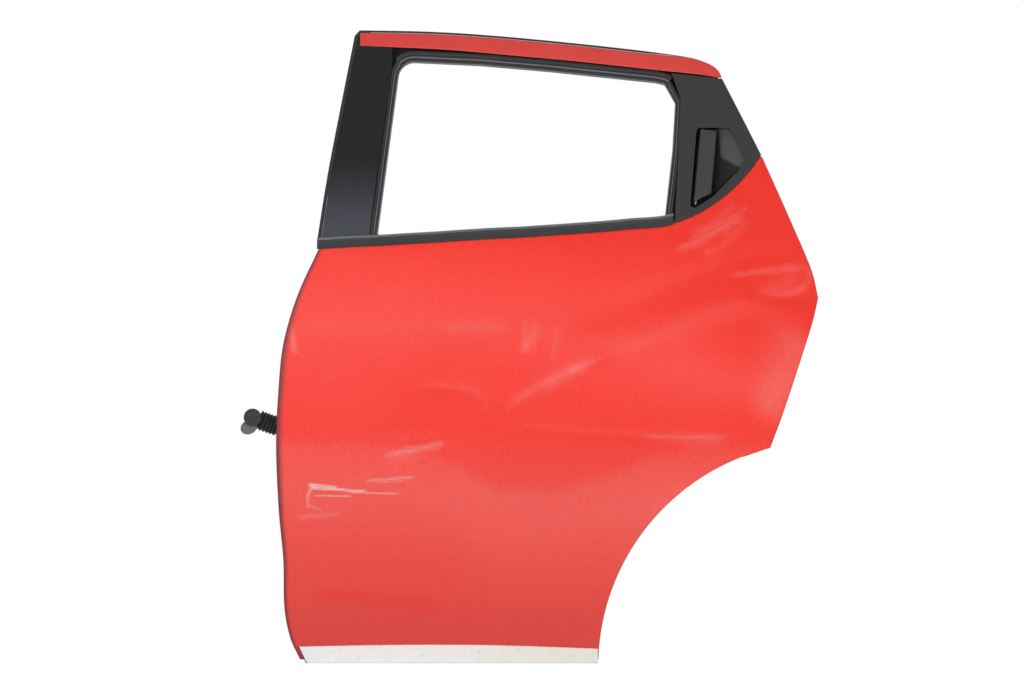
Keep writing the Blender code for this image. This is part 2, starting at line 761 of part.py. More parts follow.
def place(name, parent, location, turn=(0.0, 0.0, 0.0)):
    """An empty that carries pieces."""
    made = bpy.data.objects.new(name, None)
    bpy.context.scene.collection.objects.link(made)
    made.parent = parent
    made.location = location
    made.rotation_euler = turn
    return made


# Outer skin


def skin_boundary():
    """The skin's outline, counter-clockwise from its lower front corner."""
    belt = [(x, z + SKIN_TUCK) for x, z in belt_line()]
    belt[0], belt[-1] = front_edge()[-1], rear_edge()[-1]
    return bottom_edge(), rear_edge(), belt, front_edge()


def skin_grid():
    """A net of points over the skin, stretched between its four edges."""
    bottom, rear, top, front = skin_boundary()
    net = []
    for row in range(SKIN_ROWS_FRONT + 1):
        v = row / SKIN_ROWS_FRONT
        line = []
        for column in range(SKIN_COLUMNS + 1):
            u = column / SKIN_COLUMNS
            point = []
            for k in (0, 1):
                ruled = (1 - v) * bottom[column][k] + v * top[column][k]
                ruled += (1 - u) * front[row][k] + u * rear[row][k]
                corners = (1 - u) * ((1 - v) * bottom[0][k] + v * top[0][k])
                corners += u * ((1 - v) * bottom[-1][k] + v * top[-1][k])
                point.append(ruled - corners)
            line.append(tuple(point))
        net.append(line)
    return net


def skin_chain():
    """Places in the net along its hemmed edges, from the front end of the belt round to its rear."""
    rows, columns = SKIN_ROWS_FRONT, SKIN_COLUMNS
    chain = [(row, 0) for row in range(rows, 0, -1)] + [(0, column) for column in range(columns)]
    return chain + [(row, columns) for row in range(rows + 1)]


def skin_shape():
    """The skin as one open sheet with its hem folded back and its belt edge turned in."""
    net = skin_grid()
    chain = skin_chain()
    belt = [(SKIN_ROWS_FRONT, column) for column in range(SKIN_COLUMNS - 1, 0, -1)]
    loop = [net[row][column] for row, column in chain + belt]
    steps = mitres(loop)
    radius = HEM_DEPTH / 2
    for (row, column), (x, z), (mx, mz) in zip(chain, loop, steps):
        net[row][column] = (x + mx * radius, z + mz * radius)
    points = [(x, side_y(x, z), z) for line in net for x, z in line]
    width = SKIN_COLUMNS + 1
    faces = []
    for row in range(SKIN_ROWS_FRONT):
        for column in range(SKIN_COLUMNS):
            low = row * width + column
            faces.append((low, low + 1, low + width + 1, low + width))
    before = [row * width + column for row, column in chain]
    for reach, depth in ((-radius, radius), (0, HEM_DEPTH), (HEM_LIP, HEM_DEPTH)):
        start = len(points)
        for (x, z), (mx, mz) in zip(loop, steps):
            if len(points) - start == len(chain):
                break
            px, pz = x + mx * (radius + reach), z + mz * (radius + reach)
            points.append((px, side_y(px, pz) + depth, pz))
        after = list(range(start, start + len(chain)))
        faces += [(before[i], before[i + 1], after[i + 1], after[i]) for i in range(len(chain) - 1)]
        before = after
    edge = [SKIN_ROWS_FRONT * width + column for column in range(1, width - 1)]
    start = len(points)
    for index in edge:
        x, y, z = points[index]
        points.append((x, y + BELT_RETURN, z))
    faces += [(edge[i], edge[i + 1], start + i + 1, start + i) for i in range(len(edge) - 1)]
    return points, faces


def outer_skin(door):
    """The red outer panel, folded round the inner panel's flange on three sides."""
    sheet("outer_skin", skin_shape(), (0, -1, 0), SKIN_THICKNESS, red_paint(), door)


# Inner panel


def panel_outline():
    """Outline of the whole door, counter-clockwise, and the places in it that the skin's hem holds."""
    bottom, rear = bottom_edge(), rear_edge()[1:]
    quarter = smooth_path(on_door(QUARTER_EDGE_SHARES)[::-1], QUARTER_POINTS)[1:]
    roof = smooth_path(on_door(ROOF_EDGE_SHARES)[::-1], ROOF_POINTS)
    front = front_edge()[::-1]
    pillar = smooth_path([roof[-1]] + on_door(PILLAR_EDGE_SHARES[1:-1])[::-1] + [front[0]], PILLAR_POINTS)
    quarter = [step_along(rear[-1], quarter[0], SKIN_TUCK)] + quarter
    pillar[-1] = step_along(front[0], pillar[-2], SKIN_TUCK)
    loop = bottom + rear + quarter + roof + pillar[1:] + front[:-1]
    hemmed = len(bottom) + len(rear)
    return loop, list(range(hemmed)) + list(range(len(loop) - len(front) + 1, len(loop)))


def step_along(start, end, length):
    """The point at a length from the start towards the end."""
    share = length / math.dist(start, end)
    return tuple(a + (b - a) * share for a, b in zip(start, end))


def latch_lean():
    """Angle by which the rear wall at the latch leans from upright, and the latch's place on it."""
    edge = rear_lower_edge()
    low, high = edge[1], edge[-2]
    lean = math.atan2(high[0] - low[0], high[1] - low[1])
    x = (low[0] + high[0]) / 2 - WALL_INSET * math.cos(lean) - LATCH_DROP * math.sin(lean)
    z = (low[1] + high[1]) / 2 + WALL_INSET * math.sin(lean) - LATCH_DROP * math.cos(lean)
    return lean, (x, z)


def insets_by_height(loop, below, above):
    """A distance for each point: one below the belt, another above it."""
    low = PAN_HIGH_SHARES[1]
    return [below + (above - below) * blend(low, low + FRAME_BLEND_SHARE, z / DOOR_HEIGHT) for _, z in loop]


def panel_wall(loop):
    """Line of the panel's outer wall, flat at the hinges and at the latch."""
    wall = inset(loop, insets_by_height(loop, WALL_INSET, FRAME_WALL_INSET))
    lean, (px, pz) = latch_lean()
    first = SKIN_COLUMNS + SKIN_ROWS_ARCH + 1
    for i in range(first, first + SKIN_ROWS_REAR_LOWER - 1):
        x, z = wall[i]
        reach = (x - px) * math.sin(lean) + (z - pz) * math.cos(lean)
        wall[i] = (px + reach * math.sin(lean), pz + reach * math.cos(lean))
    return [(HINGE_WALL_X if x < hinge_flat_limit(z) else x, z) for x, z in wall]


def hinge_flat_limit(z):
    """X that the wall is flattened up to, a little more round the upper hinge."""
    return HINGE_WALL_X + (HINGE_FLAT_EXTRA if z < UPPER_HINGE_Z + HINGE_FLAT_SHARE * DOOR_HEIGHT else 0.0)


def seal_line(aside=0.0):
    """Line of the weatherstrip on the inner panel, moved in from its middle by a distance."""
    loop = panel_outline()[0][::2]
    deep = insets_by_height(loop, WALL_INSET + SEAL_INSET, FRAME_WALL_INSET + FRAME_SEAL_INSET)
    return inset([(max(x, HINGE_WALL_X + SEAL_INSET), z) for x, z in inset(loop, deep)], aside)


def window_line(grow=0.0):
    """Outline of the window opening, moved out by a distance; counter-clockwise."""
    radii = [share * DOOR_WIDTH for share in WINDOW_RADII_SHARES]
    return inset(rounded(on_door(WINDOW_SHARES), radii), -grow)


def panel_holes():
    """Outlines of the access holes in the inner panel."""
    holes = [circle(on_door([SPEAKER_SHARE])[0], SPEAKER_RADIUS, SPEAKER_SIDES)]
    for shares, radius in (
        (MAIN_HOLE_SHARES, MAIN_HOLE_RADIUS),
        (LATCH_HOLE_SHARES, LATCH_HOLE_RADIUS),
        (FRONT_HOLE_SHARES, FRONT_HOLE_RADIUS),
    ):
        holes.append(rounded(on_door(shares), [radius] * len(shares)))
    return holes


def face_net(outer, lines, holes, height, spacing):
    """Triangles over the inside of a loop, with its lines kept as edges and its holes left open.

    Each line is (loop, drop): its points lie that much further out than the height function says.
    """
    points, edges, drops = [], [], []
    for loop, drop in [(outer, 0.0)] + lines:
        start = len(points)
        points += loop
        drops += [drop] * len(loop)
        edges += [(start + i, start + (i + 1) % len(loop)) for i in range(len(loop))]
    fixed = list(points)
    low = [min(p[k] for p in outer) for k in (0, 1)]
    high = [max(p[k] for p in outer) for k in (0, 1)]
    for i in range(1, math.ceil((high[0] - low[0]) / spacing)):
        for k in range(1, math.ceil((high[1] - low[1]) / spacing)):
            point = (low[0] + i * spacing, low[1] + k * spacing)
            if inside(outer, point) and min(math.dist(point, other) for other in fixed) > spacing / 2:
                points.append(point)
                drops.append(0.0)
    flat = [Vector(point) for point in points]
    flat, _, faces, origins, _, _ = geometry.delaunay_2d_cdt(flat, edges, [], 0, GAP / 100)
    out = []
    for (x, z), origin in zip(flat, origins):
        out.append((x, height(x, z) - (drops[origin[0]] if origin else 0.0), z))
    kept = []
    for face in faces:
        middle = (sum(out[i][0] for i in face) / 3, sum(out[i][2] for i in face) / 3)
        sliver = geometry.area_tri(*(flat[i] for i in face)) < GAP * GAP
        if inside(outer, middle) and not sliver and not any(inside(hole, middle) for hole in holes):
            kept.append(tuple(face))
    return out, kept


def ribbon(first, second, closed=True):
    """An open band of faces between two lines of equal size."""
    count = len(first)
    return first + second, [
        (i, (i + 1) % count, (i + 1) % count + count, i + count) for i in range(count if closed else count - 1)
    ]


def panel_shape():
    """The inner panel as one open sheet: flange, wall, face with holes, and window lip."""
    loop, hemmed = panel_outline()
    held = set(hemmed)
    count = len(loop)
    offsets = [PANEL_FLANGE_OFFSET if i in held else PANEL_COVER_OFFSET for i in range(count)]
    edges = [PANEL_FLANGE_EDGE if i in held else PANEL_COVER_EDGE for i in range(count)]
    wall = panel_wall(loop)
    rim = [(x, side_y(x, z) + d, z) for (x, z), d in zip(inset(loop, edges), offsets)]
    step = [(x, side_y(x, z) + d, z) for (x, z), d in zip(wall, offsets)]
    corner = [(x, inner_y(x, z), z) for x, z in wall]
    window = window_line(WINDOW_SEAT)
    lip_low = [(x, inner_y(x, z), z) for x, z in window]
    lip_high = [(x, y - WINDOW_LIP, z) for x, y, z in lip_low]
    holes = panel_holes()
    half = WEATHERSTRIP_WIDTH / 2
    lines = [(seal_line(-half), 0.0), (seal_line(half), 0.0), (window, 0.0)]
    for hole in holes:
        lines += [(inset(hole, -HOLE_RIM), 0.0), (hole, HOLE_STEP)]
    face = face_net(wall, lines, holes + [window], inner_y, PANEL_GRID)
    return together(ribbon(rim, step), ribbon(step, corner), face, ribbon(lip_low, lip_high))


def drain_cuts():
    """Slots in the panel's bottom wall that let water out."""
    low = bottom_edge()[0][1] + WALL_INSET
    found = []
    for share in DRAIN_SHARES:
        x = share * DOOR_WIDTH
        y = side_y(x, low) + SILL_DEPTH / 2
        zs = (low - OVERRUN, low + OVERRUN)
        found.append(box((x, x + DRAIN_LENGTH), (y, y + DRAIN_WIDTH), zs))
    return together(*found)


def plug_holes():
    """Holes in the panel's face that the rubber plugs close."""
    found = []
    for x, z in on_door(PLUG_SHARES):
        y = inner_y(x, z)
        found.append(rod("Y", (z, x), PLUG_NECK, y - OVERRUN, y + OVERRUN, sides=16))
    return together(*found)


def inner_panel(door, latch):
    """The pressing that carries everything: the pan of the door and its window frame."""
    cuts = [together(*hinge_bolt_holes(), *check_holes(), boot_hole()), drain_cuts(), plug_holes()]
    made = sheet("inner_panel", panel_shape(), (0, 1, 0), PANEL_THICKNESS, red_paint(), door, cuts)
    helper(made, "inner_panel_mouth_cut", mouth_cut(), latch, "DIFFERENCE")
    helper(made, "inner_panel_screw_cut", latch_screw_holes(), latch, "DIFFERENCE")


# Hinges, in world coordinates from the middle of the upper pillar pad


def hinge_heights():
    """The two hinges by name, with the height of their middles over the origin."""
    return (("upper", 0.0), ("lower", LOWER_HINGE_Z - UPPER_HINGE_Z))


def hinge_bolt_places(height):
    """Places (y, z) of the two bolts that hold a hinge to the door."""
    return [(HINGE_BOLT_OFFSET, height + side * HINGE_BOLT_SPACING / 2) for side in (-1, 1)]


def hinge_bolt_holes():
    """Holes for the hinge bolts in the panel's front wall, in door coordinates."""
    found = []
    for _, height in hinge_heights():
        for y, z in hinge_bolt_places(height + UPPER_HINGE_Z):
            xs = (HINGE_WALL_X - OVERRUN, HINGE_WALL_X + OVERRUN)
            found.append(rod("X", (y, z), HINGE_BOLT_RADIUS + GAP, *xs))
    return found


def knuckle_gap(height, inner):
    """Boxes that free the part of the knuckle that belongs to the other leaf."""
    half = KNUCKLE_HEIGHT / 2
    ys = (PIN_Y - 2 * KNUCKLE_RADIUS, PIN_Y + KNUCKLE_RADIUS + 2 * GAP)
    xs = (-OVERRUN, 2 * PIN_X + OVERRUN)
    if inner:
        return box(xs, ys, (height - half - GAP, height + half + GAP))
    reach = PILLAR_LEAF_HEIGHT
    return together(box(xs, ys, (height + half, height + reach)), box(xs, ys, (height - reach, height - half)))


def leaf(name, height, xs, tall, inner, holes, parent):
    """One leaf of a hinge: a plate with its share of the knuckle round the pin."""
    low, high = height - tall / 2, height + tall / 2
    plate = box(xs, (PIN_Y + LEAF_START, LEAF_WIDTH / 2), (low, high))
    knuckle = rod("Z", (PIN_X, PIN_Y), KNUCKLE_RADIUS, low, high, sides=16)
    bore = rod("Z", (PIN_X, PIN_Y), PIN_RADIUS + GAP, low - OVERRUN, high + OVERRUN)
    solid(name, plate, plated_steel(), parent, [knuckle], [bore, knuckle_gap(height, inner), holes], smooth=True)


def hinge(name, height, pillar, door):
    """A hinge: the leaf on the pillar, the leaf on the door, the pin and two bolts."""
    bores = []
    for side in (-1, 1):
        centre = (0, height + side * PILLAR_HOLE_SPACING / 2)
        bores.append(rod("X", centre, PILLAR_HOLE_RADIUS, -OVERRUN, LEAF_THICKNESS + OVERRUN))
    xs = (0, LEAF_THICKNESS)
    leaf(f"{name}_hinge_pillar_leaf", height, xs, PILLAR_LEAF_HEIGHT, True, together(*bores), pillar)
    xs = (WALL_X - GAP - LEAF_THICKNESS, WALL_X - GAP)
    bores = []
    for centre in hinge_bolt_places(height):
        bores.append(rod("X", centre, HINGE_BOLT_RADIUS + GAP, xs[0] - OVERRUN, xs[1] + OVERRUN))
    leaf(f"{name}_hinge_door_leaf", height, xs, DOOR_LEAF_HEIGHT, False, together(*bores), door)
    half = PILLAR_LEAF_HEIGHT / 2
    profile = [
        (height - half - 2 * GAP, PIN_RADIUS - GAP), (height - half, PIN_RADIUS), (height + half + GAP, PIN_RADIUS),
        (height + half + GAP, PIN_HEAD_RADIUS), (height + half + GAP + PIN_HEAD_HEIGHT, PIN_HEAD_RADIUS - GAP),
    ]
    pin = turned("Z", (PIN_X, PIN_Y), profile)
    solid(f"{name}_hinge_pin", pin, dark_steel(), pillar, smooth=True)
    for i, (y, z) in enumerate(hinge_bolt_places(height)):
        bolt = bolt_shape(xs[0] - GAP, y, z)
        solid(f"{name}_hinge_bolt_{i + 1}", bolt, plated_steel(), door, [hinge_bolt_head(xs[0] - GAP, y, z)])


def bolt_shape(seat, y, z):
    """Flange and shank of a hinge bolt whose flange rests at the seat."""
    end = WALL_X + PANEL_THICKNESS + GAP + REINFORCEMENT_THICKNESS + WELD_NUT_HEIGHT
    profile = [
        (seat - BOLT_FLANGE, BOLT_FLANGE_RADIUS), (seat, BOLT_FLANGE_RADIUS), (seat, HINGE_BOLT_RADIUS - GAP),
        (end, HINGE_BOLT_RADIUS - GAP),
    ]
    return turned("X", (y, z), profile)


def hinge_bolt_head(seat, y, z):
    """Hexagon of a hinge bolt's head."""
    return rod("X", (y, z), BOLT_HEAD_RADIUS, seat - BOLT_HEAD, seat - BOLT_FLANGE / 2, sides=6)


def hinge_reinforcement(name, height, door):
    """Plate with two weld nuts behind the front wall, where a hinge is bolted."""
    start = WALL_X + PANEL_THICKNESS + GAP
    end = start + REINFORCEMENT_THICKNESS
    half = DOOR_LEAF_HEIGHT / 2
    low, high = -LEAF_WIDTH / 2, LEAF_WIDTH / 2 + REINFORCEMENT_MARGIN
    corners = [(low, height - half), (high, height - half), (high, height + half), (low, height + half)]
    plate = prism(rounded(corners, [REINFORCEMENT_MARGIN] * 4), "X", start, end)
    nuts, bores = [], []
    for y, z in hinge_bolt_places(height):
        nuts.append(rod("X", (y, z), WELD_NUT_RADIUS, start, end + WELD_NUT_HEIGHT, sides=6))
        reach = (start - OVERRUN, end + WELD_NUT_HEIGHT + OVERRUN)
        bores.append(rod("X", (y, z), HINGE_BOLT_RADIUS, *reach))
    solid(f"{name}_hinge_reinforcement", plate, plated_steel(), door, nuts, [together(*bores)])


# Door check, in world coordinates


def check_height():
    """Height of the check strap over the origin."""
    return CHECK_SHARE * DOOR_HEIGHT - UPPER_HINGE_Z


def check_y():
    """Y of the check strap's pin and of its box while the door is shut."""
    return PIN_Y + CHECK_PIN_REACH


def check_holes():
    """Slot for the strap and holes for its box's screws in the front wall, in door coordinates."""
    y, z = check_y(), CHECK_SHARE * DOOR_HEIGHT
    xs = (HINGE_WALL_X - OVERRUN, HINGE_WALL_X + OVERRUN)
    half_y, half_z = CHECK_SLOT_WIDTH / 2, CHECK_SLOT_HEIGHT / 2
    slot = box(xs, (y - half_y, y + half_y), (z - half_z, z + half_z))
    holes = [slot]
    for side in (-1, 1):
        centre = (y, z + side * CHECK_SCREW_SPACING / 2)
        holes.append(rod("X", centre, CHECK_SCREW_RADIUS + GAP, *xs))
    return holes


def check_bracket(pillar):
    """Bracket on the pillar that holds the strap's pin between two ears."""
    y, z = check_y(), check_height()
    half_y, half_z = CHECK_PAD_WIDTH / 2, CHECK_PAD_HEIGHT / 2
    corners = [(y - half_y, z - half_z), (y + half_y, z - half_z), (y + half_y, z + half_z), (y - half_y, z + half_z)]
    pad = prism(rounded(corners, [CHECK_EYE_RADIUS] * 4), "X", 0, CHECK_PAD)
    ears = []
    half_w = CHECK_EAR_WIDTH / 2
    end = CHECK_PIN_X + CHECK_EYE_RADIUS
    outline = [(CHECK_PAD / 2, y - half_w), (end, y - half_w), (end, y + half_w), (CHECK_PAD / 2, y + half_w)]
    outline = rounded(outline, [0, half_w / 2, half_w / 2, 0])
    start = STRAP_HEIGHT / 2 + GAP
    for low in (start, -start - CHECK_EAR):
        ears.append(prism(outline, "Z", z + low, z + low + CHECK_EAR))
    bores = [rod("Z", (CHECK_PIN_X, y), CHECK_PIN_RADIUS + GAP, z - CHECK_PAD_HEIGHT, z + CHECK_PAD_HEIGHT)]
    for side in (-1, 1):
        centre = (y + side * CHECK_HOLE_SPACING / 2, z)
        bores.append(rod("X", centre, CHECK_HOLE_RADIUS, -OVERRUN, CHECK_PAD + OVERRUN))
    solid("check_strap_bracket", pad, plated_steel(), pillar, ears, bores, smooth=True)
    reach = start + CHECK_EAR
    profile = [
        (z - reach - PIN_HEAD_HEIGHT / 2, CHECK_PIN_RADIUS - GAP), (z + reach + GAP, CHECK_PIN_RADIUS),
        (z + reach + GAP, CHECK_PIN_HEAD_RADIUS), (z + reach + PIN_HEAD_HEIGHT / 2, CHECK_PIN_HEAD_RADIUS),
    ]
    solid("check_strap_pin", turned("Z", (CHECK_PIN_X, y), profile), dark_steel(), pillar, smooth=True)


def check_strap(pillar):
    """Strap that slides through the box on the door and stops it at its widest."""
    turn = place("check_strap_axis", pillar, (CHECK_PIN_X, check_y(), check_height()))
    half_h, half_t = STRAP_HEIGHT / 2, STRAP_THICKNESS / 2
    bar = box((0, STRAP_LENGTH), (-half_t, half_t), (-half_h, half_h))
    eye = rod("Z", (0, 0), CHECK_EYE_RADIUS, -half_h, half_h)
    half_w = STRAP_HEAD_WIDTH / 2
    head = box((STRAP_LENGTH - STRAP_HEAD, STRAP_LENGTH), (-half_w, half_w), (-half_h, half_h))
    bore = rod("Z", (0, 0), CHECK_PIN_RADIUS + GAP, -half_h - OVERRUN, half_h + OVERRUN)
    solid("check_strap", bar, dark_steel(), turn, [eye, head], [bore], smooth=True)


def check_box(door):
    """Box behind the front wall that the strap runs through, and its two screws."""
    y, z = check_y(), check_height()
    start = WALL_X + PANEL_THICKNESS + GAP
    end = start + CHECK_BOX_DEPTH
    half_w, half_h = CHECK_BOX_WIDTH / 2, CHECK_BOX_HEIGHT / 2
    corners = [(y - half_w, z - half_h), (y + half_w, z - half_h), (y + half_w, z + half_h), (y - half_w, z + half_h)]
    case = prism(rounded(corners, [half_w / 4] * 4), "X", start, end)
    half_y, half_z = CHECK_SLOT_WIDTH / 2, CHECK_SLOT_HEIGHT / 2
    cuts = [box((start - OVERRUN, end + OVERRUN), (y - half_y, y + half_y), (z - half_z, z + half_z))]
    for side in (-1, 1):
        centre = (y, z + side * CHECK_SCREW_SPACING / 2)
        cuts.append(rod("X", centre, CHECK_SCREW_RADIUS, start - OVERRUN, end + OVERRUN))
        seat = WALL_X - GAP
        profile = [
            (seat - CHECK_SCREW_HEAD_HEIGHT, CHECK_SCREW_HEAD - GAP), (seat, CHECK_SCREW_HEAD),
            (seat, CHECK_SCREW_RADIUS - GAP), (end - GAP, CHECK_SCREW_RADIUS - GAP),
        ]
        name = "check_box_screw_1" if side < 0 else "check_box_screw_2"
        solid(name, turned("X", centre, profile), plated_steel(), door, smooth=True)
    solid("check_box", case, black_plastic(), door, cuts=cuts)


# Latch, in its own frame: X out through the rear wall, Y inwards and Z up the wall


def case_outline(margin=0.0):
    """Outline of the latch in its own plane, moved in by a margin; counter-clockwise."""
    half = LATCH_WIDTH / 2 - margin
    low, high = LATCH_LOW + margin, LATCH_HIGH - margin
    corners = [(-half, low), (half, low), (half, high), (-half, high)]
    return rounded(corners, [LATCH_CORNER - margin] * 4)


def mouth_outline(grow, reach):
    """Outline of the mouth that the striker comes in by, open towards the cabin."""
    half, end = MOUTH_HEIGHT / 2 + grow, -MOUTH_DEPTH - grow
    corners = [(end, -half), (reach, -half), (reach, half), (end, half)]
    return rounded(corners, [half / 2, 0, 0, half / 2])


def mouth_cut():
    """Cut for the mouth through the rear wall and round its corner onto the face."""
    return prism(mouth_outline(GAP * 4, 2 * LATCH_FROM_FACE), "X", -plate_back() - FORK_THICKNESS, OVERRUN)


def plate_front():
    """How far the latch's face plate lies behind the outer side of the wall."""
    return PANEL_THICKNESS + GAP


def plate_back():
    """How far the back of the latch's face plate lies behind the outer side of the wall."""
    return plate_front() + LATCH_PLATE


def latch_screw_holes():
    """Holes for the latch's screws in the rear wall."""
    reach = (-plate_front() - GAP, OVERRUN)
    return together(*(rod("X", at, LATCH_SCREW_RADIUS + GAP, *reach) for at in LATCH_SCREW_PLACES))


def latch_plate(latch):
    """Steel face plate behind the rear wall."""
    plate = prism(case_outline(), "X", -plate_back(), -plate_front())
    reach = (-plate_back() - OVERRUN, OVERRUN)
    cuts = [prism(mouth_outline(0, LATCH_WIDTH), "X", *reach)]
    cuts += [rod("X", at, LATCH_SCREW_RADIUS, *reach) for at in LATCH_SCREW_PLACES]
    cuts += [rod("X", at, RIVET_RADIUS, *reach) for at in (fork_centre(), pawl_centre())]
    solid("latch_face_plate", plate, plated_steel(), latch, cuts=cuts)


def fork_centre():
    """Place (y, z) of the fork's rivet."""
    return (0.0, -FORK_DROP)


def pawl_centre():
    """Place (y, z) of the pawl's rivet."""
    return (PAWL_OFFSET, PAWL_RISE)


def latch_case(latch):
    """Moulded case behind the face plate, a tray with the mouth cut through its inner side."""
    front = -plate_back() - GAP
    floor = front - LATCH_CASE_DEPTH
    body = prism(case_outline(), "X", floor - LATCH_CASE_WALL, front)
    cuts = [
        prism(case_outline(LATCH_CASE_WALL), "X", floor, OVERRUN),
        prism(mouth_outline(0, LATCH_WIDTH), "X", floor - 2 * LATCH_CASE_WALL, OVERRUN),
    ]
    reach = (floor - LATCH_CASE_WALL - OVERRUN, OVERRUN)
    cuts += [rod("X", at, RIVET_RADIUS, *reach) for at in (fork_centre(), pawl_centre())]
    bosses = [rod("X", at, LATCH_SCREW_BOSS, floor - LATCH_CASE_WALL / 2, front) for at in LATCH_SCREW_PLACES]
    made = solid("latch_case", body, black_plastic(), latch, cuts=cuts)
    for i, boss in enumerate(bosses):
        helper(made, f"latch_case_boss_{i}", boss, latch, "UNION")
    bores = [rod("X", at, LATCH_SCREW_RADIUS, front - LATCH_SCREW_LENGTH, OVERRUN) for at in LATCH_SCREW_PLACES]
    helper(made, "latch_case_screw_cut", together(*bores), latch, "DIFFERENCE")


def fork_shape():
    """The fork, open: a round plate whose slot takes the striker in."""
    start, end = -plate_back() - 2 * GAP - FORK_THICKNESS, -plate_back() - 2 * GAP
    half = FORK_SLOT_WIDTH / 2
    slot = [(-half, FORK_RADIUS - FORK_SLOT_DEPTH), (half, FORK_RADIUS - FORK_SLOT_DEPTH)]
    slot += [(half, 2 * FORK_RADIUS), (-half, 2 * FORK_RADIUS)]
    slot = rounded(slot, [half / 2, half / 2, 0, 0])
    waist = [(FORK_HEEL, 0), (2 * FORK_RADIUS, 0), (2 * FORK_RADIUS, -2 * FORK_RADIUS), (FORK_HEEL, -2 * FORK_RADIUS)]
    turn = -math.radians(FORK_OPEN_DEGREES)

    def turned_by(points):
        return [
            (y * math.cos(turn) - z * math.sin(turn), y * math.sin(turn) + z * math.cos(turn)) for y, z in points
        ]

    disc = prism(circle((0, 0), FORK_RADIUS, 28), "X", start, end)
    reach = (start - OVERRUN, end + OVERRUN)
    cuts = [
        prism(turned_by(slot), "X", *reach),
        prism(turned_by(waist[::-1]), "X", *reach),
        rod("X", (0, 0), RIVET_RADIUS + GAP, *reach),
    ]
    return disc, cuts


def latch_fork(latch):
    """The fork on its own axis."""
    axis = place("latch_fork_axis", latch, (0, *fork_centre()))
    disc, cuts = fork_shape()
    solid("latch_fork", disc, dark_steel(), axis, cuts=cuts, smooth=True)


def latch_pawl(latch):
    """The pawl on its own axis, its tip just clear of the fork's rim."""
    axis = place("latch_pawl_axis", latch, (0, *pawl_centre()))
    start, end = -plate_back() - 2 * GAP - FORK_THICKNESS, -plate_back() - 2 * GAP
    away = math.dist(fork_centre(), pawl_centre())
    down = (
        (fork_centre()[0] - pawl_centre()[0]) / away,
        (fork_centre()[1] - pawl_centre()[1]) / away,
    )
    tip = away - FORK_RADIUS - 2 * GAP
    half = PAWL_TIP_WIDTH / 2
    across = (-down[1] * half, down[0] * half)
    lever = [
        (across[0], across[1]), (-across[0], -across[1]),
        (down[0] * tip - across[0], down[1] * tip - across[1]),
        (down[0] * tip + across[0], down[1] * tip + across[1]),
    ]
    arm = [(-half, 0), (half, 0), (half, PAWL_ARM), (-half, PAWL_ARM)]
    boss = prism(circle((0, 0), PAWL_BOSS, 20), "X", start, end)
    joins = [prism(lever[::-1], "X", start, end), prism(arm, "X", start, end)]
    bore = rod("X", (0, 0), RIVET_RADIUS + GAP, start - OVERRUN, end + OVERRUN)
    solid("latch_pawl", boss, dark_steel(), axis, joins, [bore], smooth=True)


def latch_rivets(latch):
    """Rivets that the fork and the pawl turn on, headed behind the case."""
    back = -plate_back() - GAP - LATCH_CASE_DEPTH - LATCH_CASE_WALL
    for name, at in (("latch_fork_rivet", fork_centre()), ("latch_pawl_rivet", pawl_centre())):
        profile = [
            (back - GAP - RIVET_HEAD, RIVET_HEAD_RADIUS - GAP), (back - GAP, RIVET_HEAD_RADIUS),
            (back - GAP, RIVET_RADIUS - GAP), (-plate_front() - GAP, RIVET_RADIUS - GAP),
        ]
        solid(name, turned("X", at, profile), plated_steel(), latch, smooth=True)


def latch_screws(latch):
    """Three screws through the rear wall into the latch."""
    for i, at in enumerate(LATCH_SCREW_PLACES):
        profile = [
            (-plate_back() - LATCH_SCREW_LENGTH + GAP, LATCH_SCREW_RADIUS - GAP), (GAP, LATCH_SCREW_RADIUS - GAP),
            (GAP, LATCH_SCREW_HEAD), (GAP + LATCH_SCREW_HEAD_HEIGHT, LATCH_SCREW_HEAD / 2),
        ]
        solid(f"latch_screw_{i + 1}", turned("X", at, profile), plated_steel(), latch, smooth=True)


# Beam and belt reinforcement inside the door


def beam_ends():
    """The two ends of the beam's middle line, in door coordinates."""
    lean, (x, z) = latch_lean()
    x -= BEAM_BELOW_LATCH * math.sin(lean) + (plate_back() + BEAM_REAR_CLEARANCE) * math.cos(lean)
    z -= BEAM_BELOW_LATCH * math.cos(lean) - (plate_back() + BEAM_REAR_CLEARANCE) * math.sin(lean)
    found = []
    places = ((HINGE_WALL_X, BEAM_FRONT_SHARE * DOOR_HEIGHT, BEAM_FROM_SKIN), (x, z, BEAM_REAR_FROM_SKIN))
    for at_x, at_z, depth in places:
        found.append(Vector((at_x, side_y(at_x, at_z) + depth, at_z)))
    return found


def ring_at(centre, ahead, radius, sides):
    """A circle of points round a place, square to a direction."""
    side = ahead.cross(Vector((0, 0, 1))).normalized()
    up = side.cross(ahead).normalized()
    turns = (2 * math.pi * i / sides for i in range(sides))
    return [tuple(centre + (side * math.cos(a) + up * math.sin(a)) * radius) for a in turns]


def beam_bracket(name, xs, middle, parent):
    """Plate behind a wall of the panel that carries one end of the beam."""
    half = BEAM_RADIUS + BEAM_PLATE_MARGIN / 2
    low = half - BEAM_PLATE_MARGIN / 4
    y, z = middle
    corners = [(y - low, z - BEAM_RADIUS), (y + half, z - BEAM_RADIUS), (y + half, z + low), (y - low, z + low)]
    plate = prism(rounded(corners, [BEAM_PLATE_MARGIN / 4] * 4), "X", *xs)
    solid(name, plate, dark_steel(), parent)


